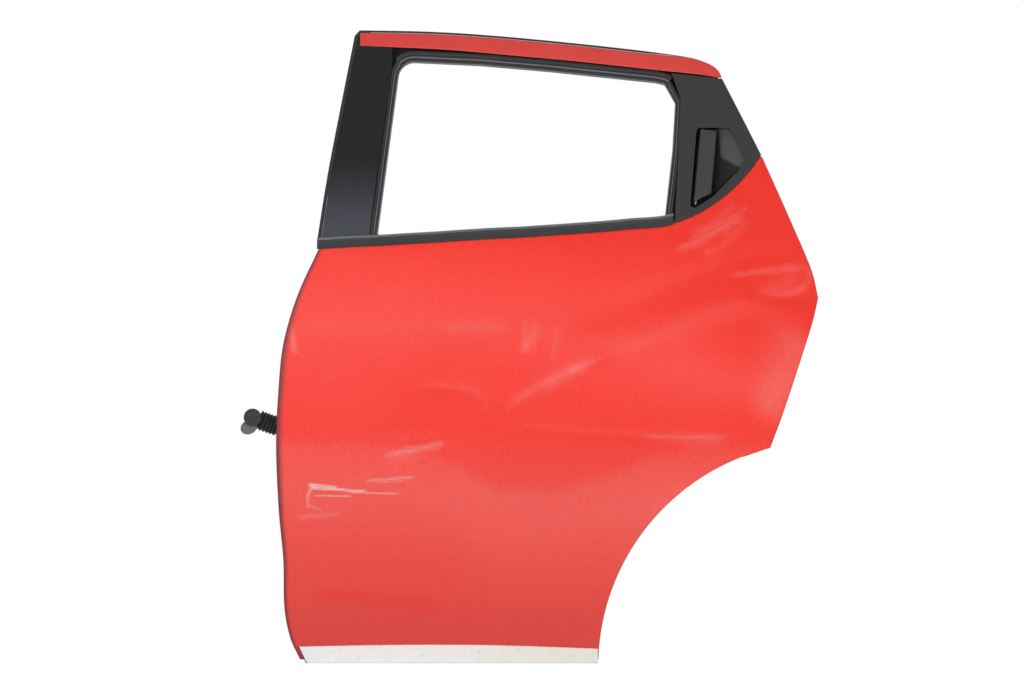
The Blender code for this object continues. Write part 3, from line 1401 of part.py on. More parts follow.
def intrusion_beam(door):
    """Steel tube across the door behind the skin, and the plate at its front end."""
    start, end = beam_ends()
    ahead = (end - start).normalized()
    start += ahead * (BEAM_PLATE + PANEL_THICKNESS + BEAM_CLEARANCE)
    tube = loft([ring_at(point, ahead, BEAM_RADIUS, 20) for point in (start, end)])
    over = ahead * OVERRUN
    bore = loft([ring_at(point, ahead, BEAM_RADIUS - BEAM_WALL, 20) for point in (start - over, end + over)])
    solid("intrusion_beam", tube, dark_steel(), door, cuts=[bore], smooth=True)
    xs = (HINGE_WALL_X + PANEL_THICKNESS + GAP, HINGE_WALL_X + PANEL_THICKNESS + GAP + BEAM_PLATE)
    beam_bracket("beam_bracket_front", xs, (start.y, start.z), door)


def beam_rear_bracket(latch):
    """Plate on the rear wall, under the latch, at the beam's rear end."""
    lean, (x, z) = latch_lean()
    y = beam_ends()[1].y - inner_y(x, z) + LATCH_FROM_FACE
    xs = (-plate_front() - BEAM_PLATE, -plate_front())
    beam_bracket("beam_bracket_rear", xs, (y, -BEAM_BELOW_LATCH), latch)


def belt_reinforcement(door):
    """Folded bar behind the top of the skin."""
    line = smooth_path(on_door(BELT_SHARES), QUARTER_BELT_POINTS)
    xs = [DOOR_WIDTH * share for share in BELT_BAR_SHARES]
    rows = []
    for i in range(BELT_BAR_STATIONS + 1):
        x = xs[0] + (xs[1] - xs[0]) * i / BELT_BAR_STATIONS
        top = height_on(line, x) - BELT_BAR_DROP
        low = top - BELT_BAR_HEIGHT
        steps = (
            (top, BELT_BAR_FROM_SKIN), (top - BELT_BAR_SLOPE, BELT_BAR_DEPTH),
            (low + BELT_BAR_SLOPE, BELT_BAR_DEPTH), (low, BELT_BAR_FROM_SKIN),
        )
        rows.append([(x, side_y(x, z) + depth, z) for z, depth in steps])
    sheet("belt_reinforcement", strip(rows), (0, 1, 0), BELT_BAR_THICKNESS, dark_steel(), door)


def height_on(line, x):
    """Height of a line at x; the line runs from front to rear."""
    for (ax, az), (bx, bz) in zip(line, line[1:]):
        if ax <= x <= bx:
            return az + (bz - az) * (x - ax) / (bx - ax)
    return line[0][1] if x < line[0][0] else line[-1][1]


# Trims and seals of the outer side


def belt_moulding(door):
    """Black strip along the belt, clipped over the skin's folded edge, with a wiper for the glass."""
    line = belt_line()
    start, end = (share * DOOR_WIDTH for share in MOULDING_SHARES)
    stations = [start] + [x for x, _ in line if start + OVERRUN < x < end - OVERRUN] + [end]
    seat = SKIN_TUCK + 2 * GAP
    clip = BELT_RETURN + 5 * GAP
    section = [
        (-MOULDING_PROUD, 0), (-2 * GAP, 0), (-2 * GAP, seat), (clip, seat), (clip, -clip / 2),
        (clip + MOULDING_WALL, -clip / 2), (clip + MOULDING_WALL, seat + GAP),
        (clip + WIPER_REACH, seat + WIPER_REACH), (clip + WIPER_REACH - GAP, seat + WIPER_REACH + MOULDING_WALL / 2),
        (clip, seat + MOULDING_WALL), (MOULDING_WALL, MOULDING_HEIGHT), (GAP, MOULDING_HEIGHT + MOULDING_LIP),
        (-GAP, MOULDING_HEIGHT + MOULDING_LIP), (-MOULDING_PROUD, MOULDING_HEIGHT),
    ]
    rings = []
    for x in stations:
        z = height_on(line, x)
        rings.append([(x, side_y(x, z) + depth, z + up) for depth, up in section])
    low = line[0][1]
    y = side_y(start, low)
    room = PANEL_COVER_OFFSET - PANEL_THICKNESS - COVER_EDGE_GAP
    xs = (start - OVERRUN, start + FRAME_WALL_INSET + 2 * OVERRUN)
    notch = box(xs, (y + room, y + 2 * BELT_RETURN + OVERRUN), (low - BELT_RETURN, low + 2 * MOULDING_HEIGHT))
    solid("outer_belt_moulding", loft(rings), textured_black(), door, cuts=[notch], smooth=True)


def rail_line():
    """Lower edge of the roof rail, from front to rear."""
    return smooth_path(on_door(RAIL_LINE_SHARES), RAIL_STATIONS)


def roof_line():
    """Upper edge of the door, from front to rear, with as many points as the rail's lower edge."""
    return smooth_path(on_door(ROOF_EDGE_SHARES + RAIL_END_SHARES), RAIL_STATIONS)


def roof_rail(door):
    """Red outer panel of the window header."""
    rows = []
    tops = open_insets(roof_line(), -ROOF_SEAL_WIDTH - 3 * GAP)
    for top, low in zip(tops, rail_line()):
        top, low = Vector(top), Vector(low)
        middle = (top + low) / 2
        back = PANEL_COVER_OFFSET - PANEL_THICKNESS - COVER_EDGE_GAP
        row = [
            (top.x, side_y(*top) + back, top.y), (top.x, side_y(*top), top.y),
            (middle.x, side_y(*middle) - RAIL_CROWN, middle.y), (low.x, side_y(*low), low.y),
            (low.x, side_y(*low) + back, low.y),
        ]
        rows.append(row)
    sheet("roof_rail", strip(rows), (0, 0, 1), RAIL_THICKNESS, red_paint(), door)


def open_insets(line, distance):
    """An open line moved to its left by a distance, as seen with x to the right and z up."""
    moved = []
    for i, (x, z) in enumerate(line):
        (ax, az), (bx, bz) = line[max(i - 1, 0)], line[min(i + 1, len(line) - 1)]
        scale = distance / math.dist((ax, az), (bx, bz))
        moved.append((x + (az - bz) * scale, z + (bx - ax) * scale))
    return moved


def band(name, line, widths, depths, crown, finish, door):
    """A rubber band along an outline, with a rounded outer face; widths and depths are (near, far)."""
    near, far = (open_insets(line, width) for width in widths)
    rings = []
    for (ax, az), (bx, bz) in zip(near, far):
        mx, mz = (ax + bx) / 2, (az + bz) / 2
        rings.append([
            (ax, side_y(ax, az) + depths[1], az), (ax, side_y(ax, az) + depths[0] + crown, az),
            (mx, side_y(mx, mz) + depths[0], mz), (bx, side_y(bx, bz) + depths[0] + crown, bz),
            (bx, side_y(bx, bz) + depths[1], bz),
        ])
    solid(name, loft(rings), finish, door, smooth=True)


def roof_seal(door):
    """Thin black seal along the top of the roof rail."""
    depths = (-ROOF_SEAL_PROUD, ROOF_SEAL_DEPTH)
    line = roof_line()[::-1]
    band("roof_seal", line, (GAP, ROOF_SEAL_WIDTH), depths, ROOF_SEAL_PROUD / 2, soft_black(), door)


def pillar_edge(shares):
    """Front edge of the window frame between two shares of its length, from the top down."""
    line = smooth_path(on_door(PILLAR_EDGE_SHARES)[::-1], 5 * PILLAR_STATIONS)
    first, last = (round(share * 5 * PILLAR_STATIONS) for share in shares)
    return line[first : last + 1 : 3]


def pillar_seal(door):
    """Rubber band in front of the B-pillar cover."""
    depths = (-ROOF_SEAL_PROUD, PILLAR_SEAL_DEPTH)
    line = pillar_edge(PILLAR_SEAL_SHARES)
    band("pillar_seal", line, (GAP, PILLAR_SEAL_WIDTH), depths, ROOF_SEAL_PROUD, soft_black(), door)


def pillar_cover(door):
    """Gloss black cover of the B-pillar, its edges folded back."""
    low, high = PILLAR_COVER_SHARES
    belt, rail = belt_line(QUARTER_BELT_POINTS), rail_line()
    front = smooth_path(on_door(PILLAR_EDGE_SHARES), 2 * PILLAR_STATIONS)
    window = on_door(WINDOW_SHARES)
    rows = []
    for i in range(PILLAR_STATIONS + 1):
        v = i / PILLAR_STATIONS
        row = []
        for k in range(PILLAR_COVER_COLUMNS + 1):
            u = k / PILLAR_COVER_COLUMNS
            for _ in range(2):
                z = low * DOOR_HEIGHT + (high - low) * DOOR_HEIGHT * v
                left = across_at(front, z) + PILLAR_SEAL_WIDTH + 3 * GAP
                right = across_at([window[0], window[-1]], z) - RUN_FRONT_WIDTH - 4 * GAP
                x = left + (right - left) * u
                base = height_on(belt, x) + MOULDING_HEIGHT + 2 * MOULDING_LIP / 3
                top = height_on(rail, x) - 2 * GAP
                z = base + (top - base) * v
            crown = PILLAR_COVER_CROWN * 4 * u * (1 - u)
            row.append((x, side_y(x, z) - crown, z))
        back = PANEL_COVER_OFFSET - PANEL_THICKNESS - COVER_EDGE_GAP
        rim = [[(x, y + back, z)] for x, y, z in (row[0], row[-1])]
        rows.append(rim[0] + row + rim[1])
    sheet("pillar_cover", strip(rows), (0, -1, 0), COVER_THICKNESS, gloss_black(), door)


def across_at(line, z):
    """X of a line at a height; the line runs up."""
    for (ax, az), (bx, bz) in zip(line, line[1:]):
        if az <= z <= bz:
            return ax + (bx - ax) * (z - az) / (bz - az)
    return line[0][0] if z < line[0][1] else line[-1][0]


def glass_run(door):
    """Rubber channel that the glass slides in, round the front, top and rear of the window."""
    points = rounded(on_door(WINDOW_SHARES), [share * DOOR_WIDTH for share in WINDOW_RADII_SHARES])
    steps = mitres(points)
    rings = []
    start = next(i for i, (x, z) in enumerate(points) if x > WINDOW_REAR_SHARE * DOOR_WIDTH)
    order = [i % len(points) for i in range(start + ROUND_STEPS, len(points) + 1)]
    for i in order:
        (x, z), (mx, mz) = points[i], steps[i]
        width = RUN_TOP_WIDTH if z > RUN_TOP_SHARE * DOOR_HEIGHT or mz < -abs(mx) else RUN_FRONT_WIDTH
        width = RUN_REAR_WIDTH if x > RUN_REAR_SHARE * DOOR_WIDTH and mz > -abs(mx) else width
        groove = width * RUN_GROOVE_SHARE
        section = [
            (0, RUN_FACE), (width / 3, RUN_FACE - RUN_RIB), (width / 2, RUN_FACE), (width * 5 / 6, RUN_FACE - RUN_RIB),
            (width, RUN_FACE), (width, RUN_DEPTH), (0, RUN_DEPTH), (0, RUN_GROOVE[1]),
            (groove, RUN_GROOVE[1]), (groove, RUN_GROOVE[0]), (0, RUN_GROOVE[0]),
        ]
        ring = []
        for out, depth in section:
            px, pz = x - mx * out, z - mz * out
            ring.append((px, side_y(px, pz) + depth, pz))
        rings.append(ring)
    solid("glass_run_seal", loft(rings), soft_black(), door, smooth=True)


# Quarter cover and door handle


def quarter_outline():
    """Outline of the quarter cover, counter-clockwise from its lower front corner, and its belt points."""
    line = belt_line()
    start = QUARTER_START_SHARE * DOOR_WIDTH
    low = [(start, height_on(line, start))] + [p for p in line[:-1] if p[0] > start + OVERRUN]
    return low + on_door(QUARTER_SHARES), len(low)


def handle_outline(grow=0.0):
    """Outline of the handle's recess, moved out by a distance."""
    return inset(on_door(HANDLE_SHARES), -grow)


def quarter_cover(door):
    """Black moulded cover of the rear quarter, with the opening for the handle."""
    loop, low = quarter_outline()
    hole = handle_outline()

    def height(x, z):
        return side_y(x, z) - COVER_PROUD

    face = face_net(loop, [(hole, 0.0)], [hole], height, QUARTER_GRID)
    edge = [(x, height(x, z), z) for x, z in loop]
    chain = edge[low:]
    back = PANEL_COVER_OFFSET - PANEL_THICKNESS - COVER_EDGE_GAP + COVER_PROUD
    folded = [(x, y + back, z) for x, y, z in chain]
    rim = [(x, height(x, z), z) for x, z in hole]
    inner = [(x, y + COVER_PROUD + BOWL_RIM_OFFSET - 4 * GAP, z) for x, y, z in rim]
    shape = together(face, ribbon(chain, folded, closed=False), ribbon(rim, inner))
    sheet("quarter_cover", shape, (0, -1, 0), COVER_THICKNESS, textured_black(), door)


def bowl_floor_y(x, z):
    """Y of the floor of the handle's recess, deepest behind the paddle."""
    xs = [px for px, _ in handle_outline()]
    low, high = min(xs), max(xs)
    start = low + BOWL_FLAT_SHARE * (high - low)
    depth = BOWL_DEEP + (BOWL_SHALLOW - BOWL_DEEP) * blend(start, high, x)
    return side_y(x, z) + depth


def handle_bowl(door):
    """Moulded housing behind the quarter cover: the recess for the fingers, with its floor and rim."""
    outer, rim, floor = handle_outline(BOWL_RIM), handle_outline(COVER_THICKNESS), handle_outline(-BOWL_DRAFT)
    lines = [[(x, side_y(x, z) + BOWL_RIM_OFFSET, z) for x, z in line] for line in (outer, rim)]
    bottom = [(x, bowl_floor_y(x, z), z) for x, z in floor]
    face = face_net(floor, [], [], bowl_floor_y, BOWL_GRID)
    shape = together(ribbon(lines[0], lines[1]), ribbon(lines[1], bottom), face)
    low, high = handle_axis()
    ahead = (high - low).normalized()
    over = ahead * (HANDLE_PIN_OVER + OVERRUN)
    bore = loft([ring_at(p, ahead, HANDLE_PIN_RADIUS + GAP, 12) for p in (low - over, high + over)])
    middle = low.lerp(high, HANDLE_ARM_SHARE)
    margin = ARM_SLOT_MARGIN
    reach = HANDLE_ARM_REACH * math.sin(math.radians(HANDLE_OPEN_DEGREES))
    xs = (middle.x - HANDLE_ARM_WIDTH / 2 - margin, middle.x + HANDLE_ARM_WIDTH / 2 + reach)
    half = HANDLE_ARM_HEIGHT / 2 + margin
    slot = box(xs, (middle.y + BOWL_SHALLOW, middle.y + 2 * BOWL_DEEP), (middle.z - half, middle.z + half))
    sheet("handle_bowl", shape, (0, -1, 0), BOWL_THICKNESS, textured_black(), door, [bore, slot])


def paddle_corners():
    """Corners of the paddle: low front, low rear, high rear and high front."""
    return on_door(PADDLE_SHARES)


def handle_axis():
    """The two ends of the line that the paddle turns about, in door coordinates."""
    corners = paddle_corners()
    ends = []
    for x, z in (corners[0], corners[3]):
        x += PADDLE_PIVOT_INSET
        ends.append(Vector((x, side_y(x, z) + PADDLE_PIVOT_DEPTH, z)))
    return ends


def handle_paddle(door):
    """The paddle that is pulled out by its rear edge, with the arm that pulls the cable."""
    low, high = handle_axis()
    middle = low.lerp(high, HANDLE_ARM_SHARE)
    axis = place("handle_paddle_axis", door, middle)
    corners = [Vector(point) for point in paddle_corners()]
    rings = []
    for i in range(PADDLE_STATIONS + 1):
        v = i / PADDLE_STATIONS
        left, right = corners[0].lerp(corners[3], v), corners[1].lerp(corners[2], v)
        width = (right - left).length
        section = [
            (0, PADDLE_DEPTH - PADDLE_EDGE), (0, 0), (PADDLE_EDGE / 2, -PADDLE_PROUD + GAP),
            (width / 2, -PADDLE_PROUD), (width - PADDLE_EDGE / 2, -PADDLE_PROUD + GAP), (width, 0),
            (width, PADDLE_DEPTH), (width - PADDLE_EDGE, PADDLE_DEPTH), (width - 2 * PADDLE_EDGE, PADDLE_EDGE),
            (2 * PADDLE_EDGE + PADDLE_EDGE / 2, PADDLE_EDGE), (2 * PADDLE_EDGE, PADDLE_DEPTH),
            (PADDLE_EDGE, PADDLE_DEPTH),
        ]
        across = (right - left).normalized()
        ring = []
        for out, depth in section:
            point = left + across * out
            base = low.lerp(high, v).y - PADDLE_PIVOT_DEPTH
            base += side_y(*point) - side_y(*(left + across * PADDLE_PIVOT_INSET))
            ring.append((point.x - middle.x, base + depth - middle.y, point.y - middle.z))
        rings.append(ring)
    half = HANDLE_ARM_HEIGHT / 2
    ends = (-HANDLE_ARM_WIDTH / 2, HANDLE_ARM_WIDTH / 2)
    arm = box(ends, (PADDLE_PIVOT_DEPTH / 2, HANDLE_ARM_REACH), (-half, half))
    ahead = (high - low).normalized()
    over = ahead * OVERRUN
    low, high = low - middle, high - middle
    bore = loft([ring_at(p, ahead, HANDLE_PIN_RADIUS + GAP, 12) for p in (low - over, high + over)])
    rest = low.lerp(high, SPRING_SHARE)
    room = SPRING_RADIUS + SPRING_WIRE + SPRING_ROOM
    length = SPRING_TURNS * SPRING_PITCH / 2 + SPRING_ROOM
    notch = loft([ring_at(rest + ahead * side * length, ahead, room, 12) for side in (-1, 1)])
    shape = loft(rings)
    solid("handle_paddle", shape, textured_black(), axis, [arm], [bore, notch], smooth=True)


def handle_pin(door):
    """Steel pin that the paddle turns on."""
    low, high = handle_axis()
    ahead = (high - low).normalized()
    over = ahead * HANDLE_PIN_OVER
    pin = loft([ring_at(p, ahead, HANDLE_PIN_RADIUS, 12) for p in (low - over, high + over)])
    solid("handle_pin", pin, plated_steel(), door, smooth=True)


def handle_spring(door):
    """Coil spring round the pin, in a notch of the paddle."""
    low, high = handle_axis()
    ahead = (high - low).normalized()
    side = ahead.cross(Vector((0, 1, 0))).normalized()
    other = ahead.cross(side).normalized()
    middle = low.lerp(high, SPRING_SHARE)
    rings = []
    count = SPRING_TURNS * SPRING_STEPS
    for i in range(count + 1):
        angle = 2 * math.pi * i / SPRING_STEPS
        spoke = side * math.cos(angle) + other * math.sin(angle)
        centre = middle + ahead * SPRING_PITCH * (i / SPRING_STEPS - SPRING_TURNS / 2) + spoke * SPRING_RADIUS
        ring = []
        for k in range(5):
            turn = 2 * math.pi * k / 5
            ring.append(tuple(centre + (spoke * math.cos(turn) + ahead * math.sin(turn)) * SPRING_WIRE))
        rings.append(ring)
    solid("handle_spring", loft(rings), plated_steel(), door, smooth=True)


def cable_line():
    """Middle line of the release cable, from the handle down to the latch."""
    route = []
    for share_x, share_z, depth in CABLE_ROUTE:
        x, z = share_x * DOOR_WIDTH, share_z * DOOR_HEIGHT
        route.append((x, inner_y(x, z) - PANEL_THICKNESS - CABLE_RADIUS - depth, z))
    return smooth_path(route, CABLE_POINTS)


def release_cable(door):
    """Sheathed cable from the handle's arm down to the latch."""
    curve = bpy.data.curves.new("release_cable", "CURVE")
    curve.dimensions = "3D"
    curve.bevel_depth = CABLE_RADIUS
    curve.bevel_resolution = 1
    curve.use_fill_caps = True
    spline = curve.splines.new("POLY")
    line = cable_line()
    spline.points.add(len(line) - 1)
    for point, at in zip(spline.points, line):
        point.co = (*at, 1)
    made = bpy.data.objects.new("release_cable", curve)
    bpy.context.scene.collection.objects.link(made)
    made.parent = door
    made.data.materials.append(black_plastic())


def cable_clips(door):
    """Two plastic clips that hold the cable to the inner panel."""
    line = cable_line()
    for i, share in enumerate(CLIP_PLACE_SHARES):
        k = round(share * CABLE_POINTS)
        here = Vector(line[k])
        ahead = (Vector(line[k + 1]) - Vector(line[k - 1])).normalized()
        ends = [here + ahead * side * CLIP_LENGTH / 2 for side in (-1, 1)]
        over = [here + ahead * side * CLIP_LENGTH for side in (-1, 1)]
        ring = loft([ring_at(point, ahead, CLIP_RADIUS, 12) for point in ends])
        bore = loft([ring_at(point, ahead, CABLE_RADIUS + GAP, 12) for point in over])
        face = inner_y(here.x, here.z) - PANEL_THICKNESS - CLIP_SEAT_GAP
        half = CLIP_LENGTH / 2
        foot = box((here.x - half, here.x + half), (here.y, face), (here.z - half, here.z + half))
        solid(f"cable_clip_{i + 1}", ring, black_plastic(), door, [foot], [bore])


# Sill moulding


def sill_moulding(door):
    """White plastic strip over the lower edge of the skin, turned in under the hem."""
    start, end = (share * DOOR_WIDTH for share in SILL_SHARES)
    knots = [share * DOOR_WIDTH for share, _ in SILL_TOP_SHARES]
    tops = [share * DOOR_HEIGHT for _, share in SILL_TOP_SHARES]
    rings = []
    for i in range(SILL_STATIONS + 1):
        x = start + (end - start) * i / SILL_STATIONS
        top = smooth_value(knots, tops, x)
        floor = SILL_LOW + SILL_WALL
        back = HEM_DEPTH + 3 * GAP
        section = [
            (-2 * GAP, top), (-SILL_WALL, top - SILL_WALL / 2), (-SILL_WALL - 2 * GAP, floor),
            (-SILL_WALL / 2, SILL_LOW), (back + SILL_WALL, SILL_LOW), (back + SILL_WALL, SILL_LOW + SILL_LIP),
            (back, SILL_LOW + SILL_LIP), (back, floor), (-2 * GAP, floor),
        ]
        slant = SILL_SLANT * (1 - i / SILL_STATIONS)
        ring = []
        for depth, z in section:
            px = x + slant * (z - SILL_LOW) / (top - SILL_LOW)
            ring.append((px, side_y(px, z) + depth, z))
        rings.append(ring)
    solid("sill_moulding", loft(rings), white_plastic(), door, smooth=True)


# Wiring boot


def boot_line(count):
    """Middle line of the wiring boot, from the door forwards."""
    route = [(x * DOOR_WIDTH, y, z * DOOR_HEIGHT) for x, z, y in BOOT_ROUTE]
    return [Vector(point) for point in smooth_path(route, count)]


def boot_hole():
    """Hole for the boot's grommet in the front wall."""
    place_at = boot_line(BOOT_RINGS)[0]
    xs = (HINGE_WALL_X - OVERRUN, HINGE_WALL_X + OVERRUN)
    return rod("X", (place_at.y, place_at.z), BOOT_HOLE_RADIUS, *xs, sides=24)


def wiring_boot(door):
    """Rubber bellows round the wires, with its grommet in the front wall."""
    line = boot_line(BOOT_RINGS)
    rings = []
    seat = HINGE_WALL_X - GAP
    first = line[0]
    middle = (first.y, first.z)
    inner = HINGE_WALL_X + PANEL_THICKNESS + BOOT_PLUG_DEPTH
    for x, radius in (
        (inner, BOOT_HOLE_RADIUS - 2 * GAP), (seat, BOOT_HOLE_RADIUS - GAP), (seat, GROMMET_RADIUS),
        (seat - GROMMET_THICKNESS, GROMMET_RADIUS - GROMMET_THICKNESS / 2),
    ):
        rings.append(ring_at(Vector((x, *middle)), Vector((-1, 0, 0)), radius, BOOT_SIDES))
    for i in range(4, len(line)):
        ahead = (line[min(i + 1, len(line) - 1)] - line[i - 1]).normalized()
        share = i / BOOT_RINGS
        radius = BOOT_RADII[i % 2]
        if BOOT_NECK_SHARES[0] < share < BOOT_NECK_SHARES[1]:
            radius = BOOT_NECK
        rings.append(ring_at(line[i], ahead, radius, BOOT_SIDES))
    solid("wiring_boot", loft(rings), soft_black(), door, smooth=True)


def wiring_connector(door):
    """Round housing at the end of the boot, and the block below it that plugs into the pillar."""
    x, z = on_door([CAP_SHARE])[0]
    low, high = CAP_YS
    profile = [(low, CAP_RADIUS - CAP_CHAMFER), (low + CAP_CHAMFER, CAP_RADIUS), (high, CAP_RADIUS)]
    cap = turned("Y", (z, x), profile, sides=20)
    line = boot_line(BOOT_RINGS)
    ahead = (line[-1] - line[-2]).normalized()
    start, end = line[-1] + ahead * 2 * GAP, Vector((x, line[-1].y, z))
    neck = loft([ring_at(point, ahead, CAP_NECK_RADIUS, BOOT_SIDES) for point in (start, end)])
    tilt = math.radians(CONNECTOR_TILT_DEGREES)
    half_w, half_h = CONNECTOR_WIDTH / 2, CONNECTOR_HEIGHT / 2
    middle_x, middle_z = on_door([CONNECTOR_SHARE])[0]
    corners = []
    for u, v in ((-half_w, -half_h), (half_w, -half_h), (half_w, half_h + CAP_RADIUS / 2), (-half_w, half_h)):
        corners.append((
            middle_z + v * math.cos(tilt) + u * math.sin(tilt), middle_x + u * math.cos(tilt) - v * math.sin(tilt),
        ))
    block = prism(corners, "Y", *CONNECTOR_YS)
    solid("wiring_connector", cap, black_plastic(), door, [neck, block], smooth=True)


# Seals and plugs of the inner side


def weatherstrip(door):
    """Rubber bulb round the inner panel that seals against the body."""
    half = WEATHERSTRIP_WIDTH / 2
    high = WEATHERSTRIP_HEIGHT
    rings = []
    for (x, z), (ax, az), (bx, bz) in zip(seal_line(), seal_line(-half), seal_line(half)):
        near, far = inner_y(ax, az) + 3 * GAP, inner_y(bx, bz) + 3 * GAP
        middle = (near + far) / 2
        rings.append([
            (ax, near, az), (ax, near + high / 2, az), (x, middle + high, z), (bx, far + high / 2, bz),
            (bx, far, bz),
        ])
    solid("door_weatherstrip", loft(rings, closed=True), soft_black(), door, smooth=True)


def inner_belt_seal(door):
    """Wiper on the inner panel's edge under the window."""
    base = window_line(WINDOW_SEAT)
    low = [p for p in base if p[1] < (WINDOW_SHARES[3][1] + FRAME_BLEND_SHARE) * DOOR_HEIGHT]
    low = sorted(p for p in low if p[0] > min(q[0] for q in low) + WINDOW_SEAT)
    start, end = (share * DOOR_WIDTH for share in INNER_SEAL_SHARES)
    rings = []
    for i in range(INNER_SEAL_STATIONS + 1):
        x = start + (end - start) * i / INNER_SEAL_STATIONS
        z = height_on(low, x)
        lip = inner_y(x, z) - WINDOW_LIP
        section = [
            (-INNER_SEAL_WIPER, INNER_SEAL_HEIGHT), (-3 * GAP, -INNER_SEAL_HEIGHT), (-GAP, -INNER_SEAL_HEIGHT),
            (-GAP, 2 * GAP), (WINDOW_LIP / 2, 2 * GAP), (WINDOW_LIP / 2, INNER_SEAL_HEIGHT / 2),
            (-GAP, INNER_SEAL_HEIGHT),
        ]
        rings.append([(x, lip + depth, z + up) for depth, up in section])
    solid("inner_belt_seal", loft(rings), soft_black(), door, smooth=True)


def panel_plugs(door):
    """Rubber plugs in small holes of the inner panel."""
    for i, (x, z) in enumerate(on_door(PLUG_SHARES)):
        y = inner_y(x, z)
        profile = [
            (y - PANEL_THICKNESS - PLUG_HEIGHT, PLUG_NECK - 2 * GAP), (y + 2 * GAP, PLUG_NECK - GAP),
            (y + 2 * GAP, PLUG_RADIUS), (y + 2 * GAP + PLUG_HEIGHT, PLUG_RADIUS - PLUG_HEIGHT),
        ]
        shape = turned("Y", (z, x), profile, sides=16)
        solid(f"panel_plug_{i + 1}", shape, soft_black(), door, smooth=True)


def build():
    """The whole door: the pillar side stands still and the door swings on the hinge pins."""
    pillar = place("pillar_side", None, (0, 0, 0))
    swing = place("door_swing_axis", None, (PIN_X, PIN_Y, 0))
    hung = place("door_at_hinges", swing, (-PIN_X, -PIN_Y, 0))
    door = place("door_place", hung, (-PAD_X, 0, -UPPER_HINGE_Z))
    lean, (x, z) = latch_lean()
    latch = place("latch_place", door, (x, inner_y(x, z) - LATCH_FROM_FACE, z), (0, lean, 0))
    outer_skin(door)
    inner_panel(door, latch)
    for name, height in hinge_heights():
        hinge(name, height, pillar, hung)
        hinge_reinforcement(name, height, hung)
    check_bracket(pillar)
    check_strap(pillar)
    check_box(hung)
    for make in (
        latch_plate, latch_case, latch_fork, latch_pawl, latch_rivets, latch_screws, beam_rear_bracket,
    ):
        make(latch)
    for make in (
        intrusion_beam, belt_reinforcement, belt_moulding, roof_rail, roof_seal, pillar_seal, pillar_cover,
        glass_run, quarter_cover, handle_bowl, handle_paddle, handle_pin, handle_spring, release_cable, cable_clips,
        sill_moulding, wiring_boot, wiring_connector, weatherstrip, inner_belt_seal, panel_plugs,
    ):
        make(door)


for old in list(bpy.data.objects):
    bpy.data.objects.remove(old)
build()
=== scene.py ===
"""Looks of a rear left car door shell: painted steel, black trims, seals and its dents and scratches.

Metres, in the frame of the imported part. Door coordinates have their X at the most forward point of
the skin and their Z at the lowest edge; DOOR_AT moves them to the part's own frame.
"""

import json
import logging
import math
from collections.abc import Callable, Sequence
from dataclasses import dataclass
from enum import Enum
from functools import reduce

import bpy
import numpy as np
from mathutils import Matrix, Vector, geometry

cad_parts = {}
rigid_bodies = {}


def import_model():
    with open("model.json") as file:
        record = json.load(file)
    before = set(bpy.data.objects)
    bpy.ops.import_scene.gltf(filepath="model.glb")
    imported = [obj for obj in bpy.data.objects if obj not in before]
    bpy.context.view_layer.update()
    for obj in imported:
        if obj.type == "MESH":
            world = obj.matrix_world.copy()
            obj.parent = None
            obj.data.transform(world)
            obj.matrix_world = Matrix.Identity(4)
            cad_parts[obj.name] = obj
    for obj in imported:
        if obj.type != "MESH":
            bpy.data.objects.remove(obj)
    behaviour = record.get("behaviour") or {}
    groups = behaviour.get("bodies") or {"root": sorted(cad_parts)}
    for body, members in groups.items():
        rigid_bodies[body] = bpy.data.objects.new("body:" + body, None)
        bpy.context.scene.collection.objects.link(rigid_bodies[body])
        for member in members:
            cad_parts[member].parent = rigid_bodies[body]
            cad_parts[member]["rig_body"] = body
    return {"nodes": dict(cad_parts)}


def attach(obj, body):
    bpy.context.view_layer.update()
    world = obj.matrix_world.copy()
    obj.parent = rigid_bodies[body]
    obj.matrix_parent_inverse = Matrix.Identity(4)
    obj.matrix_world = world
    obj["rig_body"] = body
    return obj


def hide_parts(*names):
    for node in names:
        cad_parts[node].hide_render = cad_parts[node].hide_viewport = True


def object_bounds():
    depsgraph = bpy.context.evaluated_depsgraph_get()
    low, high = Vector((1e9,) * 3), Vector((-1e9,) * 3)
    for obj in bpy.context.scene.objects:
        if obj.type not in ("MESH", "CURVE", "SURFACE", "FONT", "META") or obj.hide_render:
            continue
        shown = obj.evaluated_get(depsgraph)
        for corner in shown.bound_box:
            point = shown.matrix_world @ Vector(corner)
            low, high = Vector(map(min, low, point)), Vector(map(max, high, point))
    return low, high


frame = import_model()
CAD_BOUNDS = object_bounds()

log = logging.getLogger("door")

Point = tuple[float, float]
Place = tuple[float, float, float]
Piece = bpy.types.Object
Face = bpy.types.MeshPolygon
Tree = bpy.types.NodeTree
Node = bpy.types.Node
Socket = bpy.types.NodeSocket

MM = 0.001
GAP = 0.3 * MM
DOOR_WIDTH = 976 * MM
DOOR_HEIGHT = 1141 * MM
DOOR_AT = Vector((-0.02996, 0.0, -0.59903))

